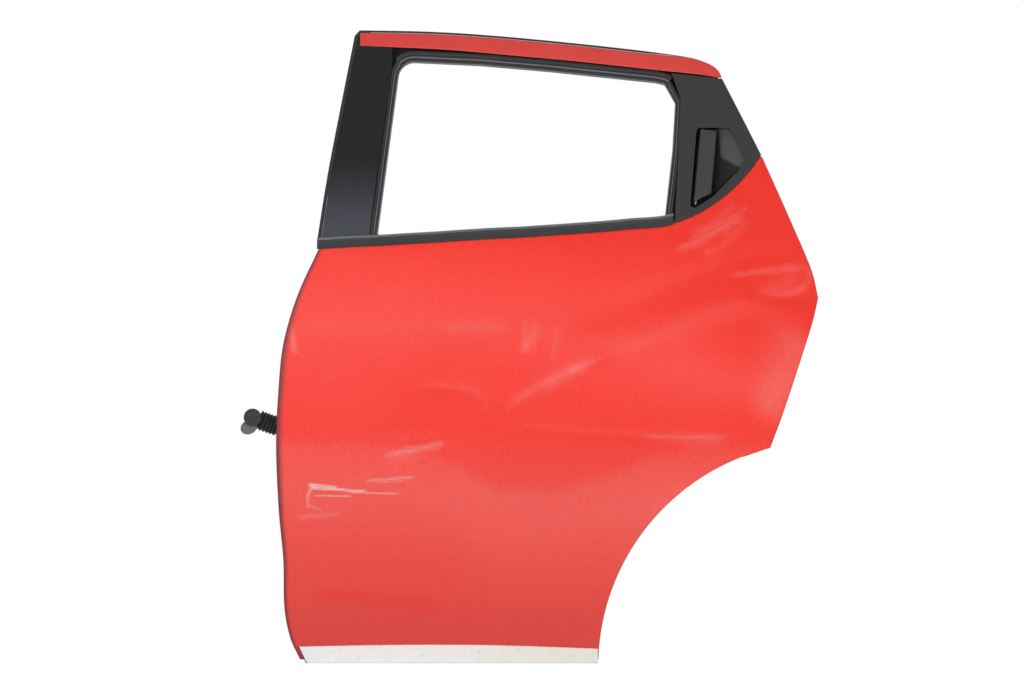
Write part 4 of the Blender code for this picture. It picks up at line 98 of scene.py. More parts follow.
# Outline of the door, as shares of its width and height
FRONT_EDGE = (
    (0.0442, 0.0072), (0.0262, 0.0412), (0.0154, 0.0885), (0.0133, 0.1639), (0.0051, 0.2401),
    (0.0000, 0.3436), (0.0041, 0.4294), (0.0133, 0.5048), (0.0389, 0.5802), (0.0779, 0.6538),
)
BELT = (
    (0.0779, 0.6538), (0.2213, 0.6617), (0.3900, 0.6740), (0.5758, 0.6810), (0.6639, 0.6862),
    (0.7234, 0.6924), (0.7818, 0.7117), (0.8412, 0.7476), (0.8965, 0.8002),
)
PILLAR_EDGE = ((0.0738, 0.6591), (0.0943, 0.7695), (0.1199, 0.8834), (0.1455, 0.9939))
ROOF_EDGE = (
    (0.1475, 1.0000), (0.2674, 0.9982), (0.3637, 0.9939), (0.4959, 0.9842), (0.6506, 0.9702),
    (0.7500, 0.9590), (0.7750, 0.9545), (0.7940, 0.9487), (0.8080, 0.9425), (0.8170, 0.9350),
    (0.8215, 0.9272),
)
RAIL_LINE = (
    (0.1510, 0.9755), (0.3094, 0.9693), (0.4283, 0.9606), (0.5574, 0.9504), (0.6937, 0.9378),
    (0.7818, 0.9298), (0.8216, 0.9241),
)
REAR_UPPER = ((0.8965, 0.8002), (0.9518, 0.6941), (0.9887, 0.6188), (1.0000, 0.5776))
REAR_LOWER = ((1.0000, 0.5776), (0.9908, 0.5425), (0.9631, 0.4671), (0.9334, 0.3909))
WINDOW_FRONT = ((0.1885, 0.6800), (0.2300, 0.9487))
WINDOW = (
    (0.1885, 0.6800), (0.3391, 0.6853), (0.5758, 0.6976), (0.7172, 0.7065), (0.7306, 0.8081),
    (0.7357, 0.8834), (0.7167, 0.9125), (0.6988, 0.9160), (0.5051, 0.9334), (0.3760, 0.9430),
    (0.2300, 0.9487),
)
WINDOW_RADII = (0.012, 0, 0, 0.012, 0, 0.008, 0.008, 0, 0, 0, 0.029)
QUARTER = (
    (0.8950, 0.8028), (0.8640, 0.8550), (0.8266, 0.9170), (0.8228, 0.9232), (0.7290, 0.9320),
    (0.7466, 0.8915), (0.7430, 0.8107),
)
HANDLE = (
    (0.7726, 0.7195), (0.8074, 0.7388), (0.8279, 0.7572), (0.8514, 0.7774), (0.8617, 0.7897),
    (0.8627, 0.7975), (0.8432, 0.8370), (0.8340, 0.8457), (0.7787, 0.8457), (0.7756, 0.8405),
    (0.7643, 0.7230),
)
ARCH_CENTRE = (1.0090, -0.0041)
ARCH_RADIUS = 404.6 * MM
ARCH_END = math.radians(103.6)
# How far the rear wall leans at the latch
LATCH_LEAN = math.radians(18.16)

# Section of the body side
SIDE_LEAN = 167 * MM
SIDE_SECTION = (
    (-0.02, 0.285), (0.00, 0.255), (0.05, 0.176), (0.11, 0.100), (0.19, 0.042), (0.28, 0.012),
    (0.37, 0.000), (0.46, 0.003), (0.53, 0.018), (0.60, 0.051), (0.66, 0.102), (0.70, 0.168),
    (0.79, 0.371), (0.88, 0.605), (0.96, 0.874), (1.01, 1.055),
)
SKIN_FAR = -62 * MM
# Its bulge over the rear wheel: middle and spread as shares of the door, and how far it stands out
BULGE_AT = (0.96, 0.41)
BULGE_SPREAD = (0.27, 0.17)
BULGE = 34 * MM
# Its bow along the car, and its flare along the wheel arch
BOW_AT = 0.46
BOW = 6 * MM
FLARE = 5 * MM
FLARE_REACH = 30 * MM

# How finely the CAD part's rows and columns of the skin are divided here
FINE = 9
ROWS = (9 * FINE, 7 * FINE, 6 * FINE)
COLUMNS = 24 * FINE

# Camera and light
VIEW_WIDTH = 1.8432
VIEW_CENTRE = (0.39484, -0.01763)
VIEW_DISTANCE = 8.0
WHITE = (1, 1, 1, 1)


# Numbers and curves


def smooth_values(knots: Sequence[float], values: Sequence[float], at: np.ndarray) -> np.ndarray:
    """Cubic curve through values.

    Args:
        knots: where the values stand, rising.
        values: the values themselves.
        at: where the curve is wanted.

    Returns:
        The curve's values there.
    """
    k, v = np.array(knots, float), np.array(values, float)
    last = len(k) - 1
    places = np.arange(last + 1)
    before, after = np.maximum(places - 1, 0), np.minimum(places + 1, last)
    slopes = (v[after] - v[before]) / (k[after] - k[before])
    i = np.clip(np.searchsorted(k[1:-1], at, side="left"), 0, last - 1)
    span = k[i + 1] - k[i]
    t = (at - k[i]) / span
    start = v[i] * (1 + 2 * t) * (1 - t) ** 2 + slopes[i] * span * t * (1 - t) ** 2
    return start + v[i + 1] * t * t * (3 - 2 * t) + slopes[i + 1] * span * t * t * (t - 1)


def smooth_path(points: Sequence[tuple[float, ...]], count: int) -> np.ndarray:
    """Evenly spaced points along a smooth curve.

    Args:
        points: the points that the curve goes through.
        count: how many steps it is cut into.

    Returns:
        count + 1 points, one a row.
    """
    steps = [math.dist(a, b) for a, b in zip(points, points[1:])]
    knots = np.concatenate([[0.0], np.cumsum(steps)])
    at = np.linspace(0, knots[-1], count + 1)
    return np.stack([smooth_values(knots, axis, at) for axis in zip(*points)], axis=1)


def on_door(shares: Sequence[Point]) -> list[Point]:
    """Door coordinates of points given as shares of its width and height."""
    return [(x * DOOR_WIDTH, z * DOOR_HEIGHT) for x, z in shares]


def door_path(shares: Sequence[Point], count: int) -> np.ndarray:
    """A smooth line on the door through points given as shares, in count steps."""
    return smooth_path(on_door(shares), count)


def ease(low: float, high: float, at: np.ndarray | float) -> np.ndarray:
    """0 below low, 1 above high and smooth between."""
    t = np.clip((np.asarray(at, float) - low) / (high - low), 0.0, 1.0)
    return t * t * (3 - 2 * t)


def side_y(x: np.ndarray | float, z: np.ndarray | float) -> np.ndarray:
    """Y of the smooth body side.

    Args:
        x: door coordinate towards the rear.
        z: door coordinate upwards.

    Returns:
        Y at each place.
    """
    x, z = np.asarray(x, float), np.asarray(z, float)
    knots = [share for share, _ in SIDE_SECTION]
    leans = [share * SIDE_LEAN for _, share in SIDE_SECTION]
    y = SKIN_FAR + smooth_values(knots, leans, z / DOOR_HEIGHT)
    across = (x / DOOR_WIDTH - BULGE_AT[0]) / BULGE_SPREAD[0]
    up = (z / DOOR_HEIGHT - BULGE_AT[1]) / BULGE_SPREAD[1]
    y = y - BULGE * np.exp(-across * across - up * up)
    y = y + BOW * ((x / DOOR_WIDTH - BOW_AT) * 2) ** 2
    cx, cz = on_door([ARCH_CENTRE])[0]
    from_arch = np.maximum(np.hypot(x - cx, z - cz) - ARCH_RADIUS, 0.0)
    return y - FLARE * np.exp(-from_arch / FLARE_REACH)


def skin_edges() -> tuple[np.ndarray, np.ndarray, np.ndarray, np.ndarray]:
    """The skin's four edges.

    Returns:
        Bottom, rear, top and front edges, from the front or from the bottom.
    """
    front = door_path(FRONT_EDGE, sum(ROWS))
    cx, cz = on_door([ARCH_CENTRE])[0]
    low = math.pi - math.asin((front[0][1] - cz) / ARCH_RADIUS)
    turns = low + (ARCH_END - low) * np.linspace(0, 1, ROWS[0] + 1) ** 1.2
    arch = np.stack([cx + ARCH_RADIUS * np.cos(turns), cz + ARCH_RADIUS * np.sin(turns)], axis=1)
    lower = smooth_path([tuple(arch[-1])] + on_door(REAR_LOWER)[::-1], ROWS[1])
    upper = smooth_path(on_door(REAR_UPPER)[::-1], ROWS[2])
    rear = np.concatenate([arch, lower[1:], upper[1:]])
    shares = np.linspace(0, 1, COLUMNS + 1)[:, None]
    bottom = front[0] + (arch[0] - front[0]) * shares
    top = door_path(BELT, COLUMNS)
    top[:, 1] += 4 * MM
    top[0], top[-1] = front[-1], rear[-1]
    return bottom, rear, top, front


def mitres(loop: np.ndarray) -> np.ndarray:
    """Steps that move each point of a counter-clockwise loop in by one unit.

    Args:
        loop: its points, one a row.

    Returns:
        One step for each point.
    """
    back, ahead = loop - np.roll(loop, 1, axis=0), np.roll(loop, -1, axis=0) - loop
    normals = []
    for edge in (back, ahead):
        length = np.hypot(edge[:, 0], edge[:, 1])
        normals.append(np.stack([-edge[:, 1], edge[:, 0]], axis=1) / length[:, None])
    both = normals[0] + normals[1]
    return both / (1 + (normals[0] * normals[1]).sum(axis=1))[:, None]


def rounded(points: Sequence[Point], radii: Sequence[float], steps: int) -> list[Point]:
    """The polygon with its corners rounded.

    Args:
        points: its corners.
        radii: radius of each corner, 0 where it stays sharp.
        steps: number of steps in each arc.

    Returns:
        The points of the rounded polygon.
    """
    out: list[Point] = []
    for i, (point, radius) in enumerate(zip(points, radii)):
        if not radius:
            out.append(point)
            continue
        corner = Vector(point)
        back = (Vector(points[i - 1]) - corner).normalized()
        ahead = (Vector(points[(i + 1) % len(points)]) - corner).normalized()
        half = back.angle(ahead) / 2
        centre = corner + (back + ahead).normalized() * radius / math.sin(half)
        reach = radius / math.tan(half)
        start, end = corner + back * reach - centre, corner + ahead * reach - centre
        first = math.atan2(start.y, start.x)
        sweep = (math.atan2(end.y, end.x) - first + math.pi) % (2 * math.pi) - math.pi
        turns = (first + sweep * k / steps for k in range(steps + 1))
        out += [(centre.x + radius * math.cos(a), centre.y + radius * math.sin(a)) for a in turns]
    return out


def height_on(line: np.ndarray, x: float) -> float:
    """Height of a line at x; the line runs from front to rear."""
    return float(np.interp(x, line[:, 0], line[:, 1]))


def inside(loop: Sequence[Point], point: Point) -> bool:
    """Whether a point lies inside a loop.

    Args:
        loop: its points in order.
        point: the point.

    Returns:
        True where it does.
    """
    x, z = point
    found = False
    for (ax, az), (bx, bz) in zip(loop, [*loop[1:], loop[0]]):
        if (az > z) != (bz > z) and x < ax + (bx - ax) * (z - az) / (bz - az):
            found = not found
    return found


# Dents and creases of the skin, in door millimetres


@dataclass(frozen=True)
class Stroke:
    """A soft-edged line on the skin: a crease in the metal, or a painted highlight or painted shade on the
    paint.

    Attributes:
        line: points (x, z) along it.
        width: half width of its slope.
        height: how far it stands out or how light it is painted, negative for a valley or painted shade.
    """

    line: tuple[Point, ...]
    width: float
    height: float

    def rise(self, x: np.ndarray, z: np.ndarray) -> np.ndarray:
        """Height of the stroke at each place, fading out towards its two ends.

        Args:
            x: towards the rear, in the line's unit.
            z: upwards, in the same unit.

        Returns:
            The height at each place.
        """
        best = np.full(x.shape, 1e9)
        fade = np.zeros(x.shape)
        points = smooth_path(self.line, 6 * (len(self.line) - 1))
        total = len(points) - 1
        for i, (a, b) in enumerate(zip(points, points[1:])):
            edge = b - a
            t = ((x - a[0]) * edge[0] + (z - a[1]) * edge[1]) / (edge @ edge)
            t = np.clip(t, 0, 1)
            away = np.hypot(x - a[0] - t * edge[0], z - a[1] - t * edge[1])
            nearer = away < best
            best = np.where(nearer, away, best)
            fade = np.where(nearer, (i + t) / total, fade)
        ends = ease(0, 0.22, fade) * ease(0, 0.22, 1 - fade)
        return self.height * ends * np.exp(-((best / self.width) ** 2))


CREASES = (
    Stroke(((404, 448), (480, 500), (570, 543), (640, 566)), 8, 1.5),
    Stroke(((600, 552), (700, 598), (800, 640), (965, 664)), 22, 1.6),
    Stroke(((250, 498), (311, 497), (371, 479), (384, 438)), 7, 0.9),
    Stroke(((384, 432), (515, 418), (664, 409), (820, 412)), 7, 0.8),
    Stroke(((500, 592), (640, 648), (780, 700), (955, 760)), 26, -2.6),
    Stroke(((800, 700), (860, 716), (940, 712), (960, 690), (900, 668)), 9, 1.1),
    Stroke(((820, 640), (880, 652), (975, 668)), 10, -1.2),
    Stroke(((434, 560), (455, 585), (470, 612)), 9, -0.9),
    Stroke(((200, 396), (260, 404), (312, 380)), 8, 0.7),
    Stroke(((30, 602), (150, 606), (300, 604), (455, 606)), 14, 0.6),
)
IMPRESSION_EDGE = (
    (150, 405), (207, 400), (304, 376), (380, 322), (470, 308), (574, 328), (664, 364), (760, 405),
)
IMPRESSION_DEEP = 3.4
IMPRESSION_TOP = 600
IMPRESSION_RETURN = 120
# Unevenness of the whole skin: its depth, and the lengths of its waves
RIPPLE = 0.25
RIPPLE_WAVES = (41, 67, 53, 88)
# Painted light and shade of the impression: how much lighter the paint is painted under its border, and
# darker over it
IMPRESSION_LIGHT_AND_SHADE = 0.15

# Light and dark marks on the paint, in door millimetres: painted highlights and painted shade along the dents
# and creases, the light ones also standing for dull rubbed lacquer
LIGHT_AND_SHADE_MARKS = (
    Stroke(((10, 605), (200, 607), (470, 604)), 24, 0.08),
    Stroke(((290, 606), (360, 607), (430, 603)), 11, 0.16),
    Stroke(((474, 618), (460, 590), (443, 554)), 10, 0.32),
    Stroke(((508, 618), (504, 580), (498, 538)), 8, 0.18),
    Stroke(((528, 522), (560, 541), (590, 552)), 8, 0.22),
    Stroke(((26, 610), (30, 585), (36, 552)), 5, 0.55),
    Stroke(((400, 450), (480, 496), (530, 522), (585, 550)), 11, 0.22),
    Stroke(((475, 490), (515, 520), (565, 545)), 12, 0.24),
    Stroke(((960, 610), (925, 520), (870, 430)), 42, 0.30),
    Stroke(((950, 700), (910, 680), (860, 660)), 16, 0.16),
    Stroke(((540, 520), (641, 567), (761, 626), (972, 668)), 20, 0.13),
    Stroke(((245, 502), (311, 497), (371, 479), (384, 432)), 7, 0.16),
    Stroke(((380, 434), (450, 420), (515, 418), (664, 409), (830, 410)), 5, 0.14),
    Stroke(((640, 406), (700, 404), (830, 408)), 9, 0.22),
    Stroke(((190, 366), (250, 384), (320, 404)), 10, 0.20),
    Stroke(((300, 384), (380, 320), (470, 307), (574, 328), (664, 364), (745, 402)), 14, 0.10),
    Stroke(((45, 126), (150, 122), (320, 108)), 10, -0.75),
    Stroke(((130, 105), (250, 100), (340, 96)), 7, -0.35),
    Stroke(((715, 740), (770, 762), (840, 815)), 7, 0.20),
    Stroke(((740, 775), (780, 790), (832, 832)), 6, 0.17),
    Stroke(((755, 730), (800, 752), (860, 806)), 8, 0.16),
    Stroke(((535, 600), (740, 676), (960, 760)), 22, -0.22),
    Stroke(((795, 688), (871, 709), (943, 716), (960, 700), (943, 674), (880, 660)), 6, 0.24),
    Stroke(((825, 668), (880, 656), (974, 640)), 7, -0.45),
    Stroke(((930, 650), (905, 560), (890, 470), (885, 400)), 34, 0.12),
)


def impression_border(x: np.ndarray) -> np.ndarray:
    """Height of the impression's lower border at each x, in millimetres."""
    edge = smooth_path(IMPRESSION_EDGE, 60)
    return np.interp(x, edge[:, 0], edge[:, 1])


def painted_light_tone(x: np.ndarray, z: np.ndarray) -> np.ndarray:
    """How light or dark the paint is painted along the dents, as painted highlight and painted shade.

    Args:
        x: door coordinate towards the rear, metres.
        z: door coordinate upwards, metres.

    Returns:
        Tone at each place, 0 where nothing is painted.
    """
    mx, mz = x / MM, z / MM
    total = sum(painted_mark.rise(mx, mz) for painted_mark in LIGHT_AND_SHADE_MARKS)
    border = impression_border(mx) + 3 * np.sin(mx / 17) + 2 * np.sin(mx / 7.3)
    below = ease(0, 16, border - mz) * (1 - ease(60, 230, border - mz))
    above = ease(0, 25, mz - border) * (1 - ease(60, 180, mz - border))
    return total + (IMPRESSION_LIGHT_AND_SHADE * below - IMPRESSION_LIGHT_AND_SHADE * above) * (1 - ease(700, 900, mx))


def dent_depth(x: np.ndarray, z: np.ndarray) -> np.ndarray:
    """How far the metal lies in from its first shape.

    Args:
        x: door coordinate towards the rear, metres.
        z: door coordinate upwards, metres.

    Returns:
        Depth in metres, negative where it stands out.
    """
    mx, mz = x / MM, z / MM
    border = impression_border(mx)
    above = 1 - ease(0, 1, (mz - border) / (IMPRESSION_TOP - border))
    below = 1 - ease(0, IMPRESSION_RETURN, border - mz)
    depth = IMPRESSION_DEEP * np.where(mz > border, above, below)
    depth = depth * ease(120, 330, mx) * (1 - ease(640, 860, mx))
    depth = depth - sum(crease.rise(mx, mz) for crease in CREASES)
    a, b, c, d = RIPPLE_WAVES
    ripple = RIPPLE * np.sin(mx / a + 1.3 * np.sin(mz / b)) * np.sin(mz / c + np.sin(mx / d))
    return (depth + ripple * ease(0, 18, mx - 4)) * MM


# Making meshes


def only(piece: Piece) -> None:
    """Selects one object alone and makes it active."""
    if bpy.context.mode != "OBJECT":
        bpy.ops.object.mode_set(mode="OBJECT")
    bpy.ops.object.select_all(action="DESELECT")
    piece.select_set(True)
    bpy.context.view_layer.objects.active = piece


def in_edit(piece: Piece, *steps: Callable[[], object]) -> None:
    """Runs edit-mode steps on a whole piece.

    Args:
        piece: the object to edit.
        steps: calls to make once all of it is selected.
    """
    only(piece)
    bpy.ops.object.mode_set(mode="EDIT")
    bpy.ops.mesh.select_mode(type="VERT")
    bpy.ops.mesh.select_all(action="SELECT")
    for step in steps:
        step()
    bpy.ops.object.mode_set(mode="OBJECT")


def pick(piece: Piece, wanted: Callable[[Face], bool]) -> None:
    """Goes into edit mode with the wanted faces selected, and no others.

    Args:
        piece: the object to edit.
        wanted: test that a face passes by its place or normal.
    """
    only(piece)
    bpy.ops.object.mode_set(mode="EDIT")
    bpy.ops.mesh.select_mode(type="FACE")
    bpy.ops.mesh.select_all(action="DESELECT")
    bpy.ops.object.mode_set(mode="OBJECT")
    for face in piece.data.polygons:
        face.select = wanted(face)
    bpy.ops.object.mode_set(mode="EDIT")


def weld() -> None:
    """Merges points that lie on each other."""
    bpy.ops.mesh.remove_doubles(threshold=0.02 * MM)


def face_out() -> None:
    """Turns all normals outwards."""
    bpy.ops.mesh.normals_make_consistent(inside=False)


def finish_with(piece: Piece, kind: str, **settings: object) -> None:
    """Adds a modifier and applies it.

    Args:
        piece: the object.
        kind: the modifier's type name.
        settings: its properties.
    """
    only(piece)
    change = piece.modifiers.new(kind.lower(), kind)
    for name, value in settings.items():
        setattr(change, name, value)
    bpy.ops.object.modifier_apply(modifier=change.name)


def bevel(piece: Piece, width: float, degrees: float, segments: int = 2) -> None:
    """Softens the edges that are sharper than an angle."""
    limit = math.radians(degrees)
    finish_with(piece, "BEVEL", width=width, segments=segments, limit_method="ANGLE", angle_limit=limit)


def round_shading(piece: Piece, degrees: float = 35.0) -> None:
    """Smooth shading that keeps edges sharper than an angle."""
    only(piece)
    bpy.ops.object.shade_smooth_by_angle(angle=math.radians(degrees))


def placed(name: str, data: bpy.types.ID) -> Piece:
    """A new object in the scene."""
    made = bpy.data.objects.new(name, data)
    bpy.context.scene.collection.objects.link(made)
    return made


def net_piece(name: str, rows: np.ndarray, closed: bool = False) -> Piece:
    """A grid primitive laid over rows of points.

    Args:
        name: name of the new object.
        rows: door coordinates, shape (rows, columns, 3).
        closed: joins the last column to the first and fills both ends.

    Returns:
        The new object, in the part's frame.
    """
    if closed:
        rows = np.concatenate([rows, rows[:, :1]], axis=1)
    high, wide = rows.shape[:2]
    if bpy.context.mode != "OBJECT":
        bpy.ops.object.mode_set(mode="OBJECT")
    bpy.ops.object.select_all(action="DESELECT")
    bpy.ops.mesh.primitive_grid_add(x_subdivisions=wide - 1, y_subdivisions=high - 1, size=2)
    piece = bpy.context.active_object
    piece.name = piece.data.name = name
    first = np.empty(len(piece.data.vertices) * 3)
    piece.data.vertices.foreach_get("co", first)
    first = first.reshape(-1, 3)
    column = np.rint((first[:, 0] + 1) / 2 * (wide - 1)).astype(int)
    row = np.rint((first[:, 1] + 1) / 2 * (high - 1)).astype(int)
    laid = rows[row, column] + np.array(DOOR_AT)
    piece.data.vertices.foreach_set("co", laid.reshape(-1))
    piece.data.update()
    if closed:
        in_edit(piece, weld, lambda: bpy.ops.mesh.fill_holes(sides=0), face_out)
    return piece


def piece_from(
    name: str,
    points: Sequence[Place],
    faces: Sequence[Sequence[int]],
    marks: dict[str, Sequence[float]] | None = None,
) -> Piece:
    """A welded object that faces one way.

    Args:
        name: name of the new object.
        points: door coordinates.
        faces: the points of each face.
        marks: named values, one for each point.

    Returns:
        The new object, in the part's frame.
    """
    mesh = bpy.data.meshes.new(name)
    mesh.from_pydata([Vector(p) + DOOR_AT for p in points], [], faces)
    for label, values in (marks or {}).items():
        mark = mesh.attributes.new(label, "FLOAT", "POINT")
        mark.data.foreach_set("value", np.array(values, dtype=np.float32))
    piece = placed(name, mesh)
    in_edit(piece, weld, face_out)
    return piece


def ring_at(centre: Vector, ahead: Vector, radius: float, sides: int) -> list[Place]:
    """Points of a circle square to a direction.

    Args:
        centre: its middle.
        ahead: the direction.
        radius: its radius.
        sides: number of points.

    Returns:
        The points in order.
    """
    side = ahead.cross(Vector((0, 0, 1))).normalized()
    up = side.cross(ahead).normalized()
    turns = (2 * math.pi * i / sides for i in range(sides))
    return [tuple(centre + (side * math.cos(a) + up * math.sin(a)) * radius) for a in turns]


# Finishes


def linear(colour: str) -> tuple[float, float, float, float]:
    """An sRGB hex colour as linear light."""
    found = []
    for i in (1, 3, 5):
        value = int(colour[i : i + 2], 16) / 255
        found.append(value / 12.92 if value <= 0.04045 else ((value + 0.055) / 1.055) ** 2.4)
    return (*found, 1.0)


def add_node(
    tree: Tree, kind: str, inputs: dict[str | int, object] | None = None, **settings: object
) -> Node:
    """Adds a node.

    Args:
        tree: the material's node tree.
        kind: the node's type name.
        inputs: a value or another node's output for each named input.
        settings: the node's own properties.

    Returns:
        The new node.
    """
    node = tree.nodes.new(kind)
    for name, value in settings.items():
        setattr(node, name, value)
    for name, value in (inputs or {}).items():
        if isinstance(value, Socket):
            tree.links.new(value, node.inputs[name])
        else:
            node.inputs[name].default_value = value
    return node


def computed(tree: Tree, operation: str, *values: object, **settings: object) -> Socket:
    """The result of a math node."""
    inputs = dict(enumerate(values))
    return add_node(tree, "ShaderNodeMath", inputs, operation=operation, **settings).outputs[0]


def vector(tree: Tree, operation: str, *values: object) -> Node:
    """A vector math node."""
    return add_node(tree, "ShaderNodeVectorMath", dict(enumerate(values)), operation=operation)


def axis_of(tree: Tree, where: Socket, axis: str) -> Socket:
    """One coordinate of a place."""
    return add_node(tree, "ShaderNodeSeparateXYZ", {0: where}).outputs[axis]


def noise(tree: Tree, where: Socket, scale: float, detail: float) -> Socket:
    """The value of a noise texture."""
    inputs = {"Vector": where, "Scale": scale, "Detail": detail}
    return add_node(tree, "ShaderNodeTexNoise", inputs).outputs["Fac"]


def attribute(tree: Tree, name: str) -> Socket:
    """The value that the mesh's points carry under a name."""
    return add_node(tree, "ShaderNodeAttribute", attribute_name=name).outputs["Fac"]


def ranged(tree: Tree, value: Socket, *spans: float | Socket, soft: bool = False) -> Socket:
    """A value carried over from one span to another, and kept inside it.

    Args:
        tree: the node tree.
        value: the value.
        spans: ends of its span, and what they become where that isn't 0 and 1.
        soft: whether it eases in and out.

    Returns:
        The new value.
    """
    inputs = {"Value": value, **dict(zip(("From Min", "From Max", "To Min", "To Max"), spans))}
    kind = "SMOOTHSTEP" if soft else "LINEAR"
    return add_node(tree, "ShaderNodeMapRange", inputs, interpolation_type=kind).outputs[0]


def tinted(tree: Tree, share: Socket, colour: object, over: str) -> Socket:
    """A colour with a share of another one over it."""
    inputs = {"Factor": share, 6: colour, 7: linear(over)}
    return add_node(tree, "ShaderNodeMix", inputs, data_type="RGBA").outputs[2]


class Texture(Enum):
    """Surface patterns that a finish can carry."""

    GRAIN = "moulded grain"
    CLOUD = "soft unevenness"
    BRUSHED = "drawn or rolled metal"


@dataclass(frozen=True)
class Finish:
    """A plain finish with a fine pattern and slow colour changes.

    Attributes:
        name: name of the material, after the real one.
        slot: the record's material slot; not used.
        colour: its main sRGB colour.
        second: the colour that it drifts to.
        roughness: middle roughness.
        metallic: 1 for bare or plated metal.
        pattern: kind of fine pattern.
        pattern_mm: size of that pattern.
        bump_mm: its depth.
        specular: level of reflection of the base.
    """

    name: str
    slot: str
    colour: str
    second: str
    roughness: float
    metallic: float = 0.0
    pattern: Texture = Texture.CLOUD
    pattern_mm: float = 6.0
    bump_mm: float = 0.02
    specular: float = 0.5

    def made(self) -> bpy.types.Material:
        """The material, made once."""
        if self.name in bpy.data.materials:
            return bpy.data.materials[self.name]
        material = bpy.data.materials.new(self.name)
        material.use_nodes = True
        material.diffuse_color = linear(self.colour)
        self.wire(material.node_tree, material.node_tree.nodes["Principled BSDF"])
        return material

    def wire(self, tree: Tree, shader: Node) -> None:
        """Builds the pattern, the colour and the bump.

        Args:
            tree: the node tree.
            shader: its Principled shader.
        """
        if self.metallic:
            shader.inputs["Metallic"].default_value = self.metallic
        else:
            shader.inputs["Specular IOR Level"].default_value = self.specular
        where = add_node(tree, "ShaderNodeTexCoord").outputs["Object"]
        colour = tinted(tree, noise(tree, where, 14.0, 4.0), linear(self.colour), self.second)
        tree.links.new(self.marked(tree, where, colour), shader.inputs["Base Color"])
        brushed = self.pattern is Texture.BRUSHED
        stretch = (1.0, 1.0, 0.06 if brushed else 1.0)
        mapped = add_node(tree, "ShaderNodeMapping", {"Vector": where, "Scale": stretch}).outputs[0]
        scale = 1 / (self.pattern_mm * MM)
        if self.pattern is Texture.GRAIN:
            inputs = {"Vector": mapped, "Scale": scale}
            fine = add_node(tree, "ShaderNodeTexVoronoi", inputs, feature="SMOOTH_F1").outputs["Distance"]
        else:
            fine = noise(tree, mapped, scale, 3.0)
        spread = 0.08 if brushed else 0.05
        rough = ranged(tree, fine, 0.0, 1.0, self.roughness - spread, self.roughness + spread)
        tree.links.new(rough, shader.inputs["Roughness"])
        inputs = {"Height": fine, "Strength": 1.0, "Distance": self.bump_mm * MM}
        tree.links.new(add_node(tree, "ShaderNodeBump", inputs).outputs[0], shader.inputs["Normal"])

    def marked(self, tree: Tree, where: Socket, colour: Socket) -> Socket:
        """The colour with whatever marks it; a plain finish has none."""
        return colour


# How far grit bends a streak, in half widths, and where it begins to fade, as a share of its length
STREAK_BEND = 0.9
STREAK_TIP = 0.36


@dataclass(frozen=True)
class Streak:
    """A long mark on the paint, in door millimetres.

    Attributes:
        start: its first end.
        end: its other end.
        width: half width at its middle.
        strength: how much of the paint it covers.
    """

    start: Point
    end: Point
    width: float
    strength: float

    def drawn(self, tree: Tree, where: Socket, grit: Socket) -> Socket:
        """The streak as a mask.

        Args:
            tree: the node tree.
            where: object coordinates.
            grit: noise that breaks the mark up.

        Returns:
            A value of 0 to the streak's strength.
        """
        (ax, az), (bx, bz) = ((x * MM + DOOR_AT.x, z * MM + DOOR_AT.z) for x, z in (self.start, self.end))
        length, width = math.dist((ax, az), (bx, bz)), self.width * MM
        ux, uz = (bx - ax) / length, (bz - az) / length
        here = vector(tree, "SUBTRACT", where, ((ax + bx) / 2, 0.0, (az + bz) / 2)).outputs[0]
        along = vector(tree, "DOT_PRODUCT", here, (ux, 0.0, uz)).outputs["Value"]
        across = vector(tree, "DOT_PRODUCT", here, (-uz, 0.0, ux)).outputs["Value"]
        bend = computed(tree, "MULTIPLY_ADD", grit, STREAK_BEND * width, across)
        bend = computed(tree, "SUBTRACT", bend, STREAK_BEND / 2 * width)
        far, ends = computed(tree, "ABSOLUTE", bend), computed(tree, "ABSOLUTE", along)
        side = ranged(tree, far, 0.0, width, self.strength, 0.0, soft=True)
        tip = ranged(tree, ends, length * STREAK_TIP, length / 2, 1.0, 0.0, soft=True)
        return computed(tree, "MULTIPLY", side, tip)


# Marks that rub through to the primer
STREAKS = (
    Streak((56, 321), (112, 316), 6.0, 1.0),
    Streak((56, 318), (168, 310), 4.2, 0.9),
    Streak((57, 324), (92, 321), 3.0, 0.8),
    Streak((66, 303), (140, 302), 2.2, 0.6),
    Streak((128, 309), (226, 306), 2.4, 0.55),
    Streak((66, 322), (56, 300), 6.0, 0.5),
    Streak((56, 306), (58, 280), 5.0, 0.28),
    Streak((54, 288), (84, 276), 5.0, 0.20),
    Streak((34, 263), (120, 271), 6.0, 0.15),
    Streak((154, 329), (256, 337), 4.4, 0.32),
    Streak((175, 326), (235, 330), 3.0, 0.22),
    Streak((190, 374), (312, 400), 8.0, 0.20),
    Streak((225, 392), (300, 386), 5.0, 0.14),
    Streak((715, 742), (848, 806), 8.0, 0.10),
    Streak((740, 762), (838, 815), 6.0, 0.09),
    Streak((805, 770), (850, 830), 8.0, 0.07),
    Streak((660, 410), (815, 408), 6.0, 0.10),
    Streak((445, 560), (450, 622), 8.0, 0.10),
    Streak((810, 700), (950, 712), 8.0, 0.08),
)


